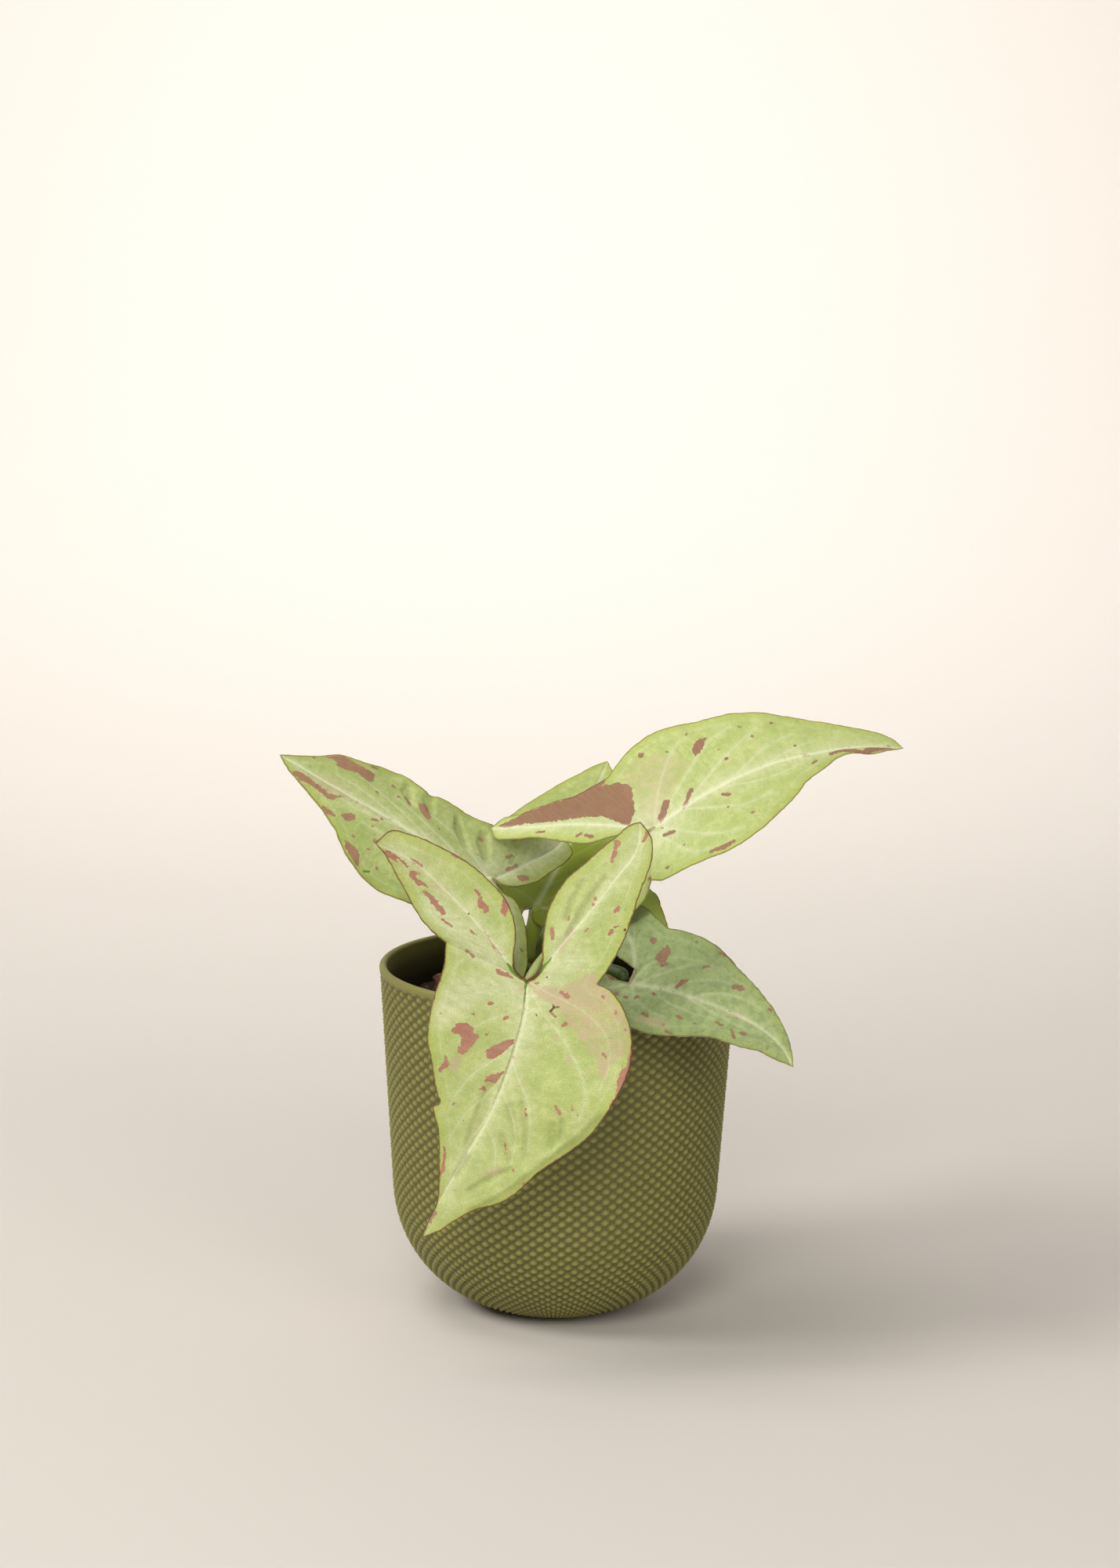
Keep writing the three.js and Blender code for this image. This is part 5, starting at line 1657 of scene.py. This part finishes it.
def add_camera():
    camera = bpy.data.cameras.new("camera")
    camera.sensor_fit = "VERTICAL"
    camera.sensor_height = CAMERA["sensor"]
    camera.lens = CAMERA["lens"]
    camera.clip_end = 30
    eye = bpy.data.objects.new("camera", camera)
    tilt = Matrix.Rotation(math.radians(90 - CAMERA["down"]), 4, "X")
    roll = Matrix.Rotation(math.radians(CAMERA["roll"]), 4, "Z")
    eye.matrix_world = Matrix.Translation(CAMERA["at"]) @ tilt @ roll
    bpy.context.collection.objects.link(eye)
    bpy.context.scene.camera = eye


# ---- operators and panel ----
class PLANT_OT_pot(bpy.types.Operator):
    """Spin the knurled cover pot"""

    bl_idname = "plant.add_pot"
    bl_label = "Cover Pot"

    def execute(self, context):
        add_pot(context.scene.plant_pot)
        return {"FINISHED"}


class PLANT_OT_soil(bpy.types.Operator):
    """Fill the pot and lay the bark flake on top"""

    bl_idname = "plant.add_soil"
    bl_label = "Soil and Bark"

    def execute(self, context):
        add_soil(context.scene.plant_soil)
        add_chip(context.scene.plant_soil)
        return {"FINISHED"}


class PLANT_OT_stalks(bpy.types.Operator):
    """Grow the stem and the five leaf stalks"""

    bl_idname = "plant.add_stalks"
    bl_label = "Stem and Stalks"

    def execute(self, context):
        add_stem(context.scene.plant_stalk)
        add_stalks(context.scene.plant_stalk)
        return {"FINISHED"}


class PLANT_OT_leaves(bpy.types.Operator):
    """Grow the five arrowhead blades"""

    bl_idname = "plant.add_leaves"
    bl_label = "Leaves"

    def execute(self, context):
        for name in LEAVES:
            add_leaf(name, context.scene.plant_leaf)
        return {"FINISHED"}


class PLANT_OT_stage(bpy.types.Operator):
    """Set the backdrop, the lights and the camera"""

    bl_idname = "plant.add_stage"
    bl_label = "Stage"

    def execute(self, context):
        settings = context.scene.plant_stage
        add_backdrop(settings)
        add_lights(settings)
        add_camera()
        context.scene.view_settings.view_transform = "Standard"
        return {"FINISHED"}


OPERATORS = (PLANT_OT_pot, PLANT_OT_soil, PLANT_OT_stalks, PLANT_OT_leaves, PLANT_OT_stage)
SETTINGS = {
    "plant_leaf": LeafSettings,
    "plant_stalk": StalkSettings,
    "plant_pot": PotSettings,
    "plant_soil": SoilSettings,
    "plant_stage": StageSettings,
}


class PLANT_PT_parts(bpy.types.Panel):
    """Lists the pieces of the potted plant"""

    bl_label = "Arrowhead Plant"
    bl_idname = "PLANT_PT_parts"
    bl_space_type = "VIEW_3D"
    bl_region_type = "UI"
    bl_category = "Plant"

    def draw(self, context):
        for operator in OPERATORS:
            self.layout.operator(operator.bl_idname)
        for key, group in SETTINGS.items():
            box = self.layout.box()
            for name in group.__annotations__:
                box.prop(getattr(context.scene, key), name)


def register():
    for made in (*SETTINGS.values(), *OPERATORS, PLANT_PT_parts):
        bpy.utils.register_class(made)
    for key, group in SETTINGS.items():
        setattr(bpy.types.Scene, key, PointerProperty(type=group))


def unregister():
    for key in SETTINGS:
        delattr(bpy.types.Scene, key)
    for made in reversed((*SETTINGS.values(), *OPERATORS, PLANT_PT_parts)):
        bpy.utils.unregister_class(made)


def main():
    register()
    bpy.ops.plant.add_pot()
    bpy.ops.plant.add_soil()
    bpy.ops.plant.add_stalks()
    bpy.ops.plant.add_leaves()
    bpy.ops.plant.add_stage()
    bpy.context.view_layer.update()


if __name__ == "__main__":
    main()
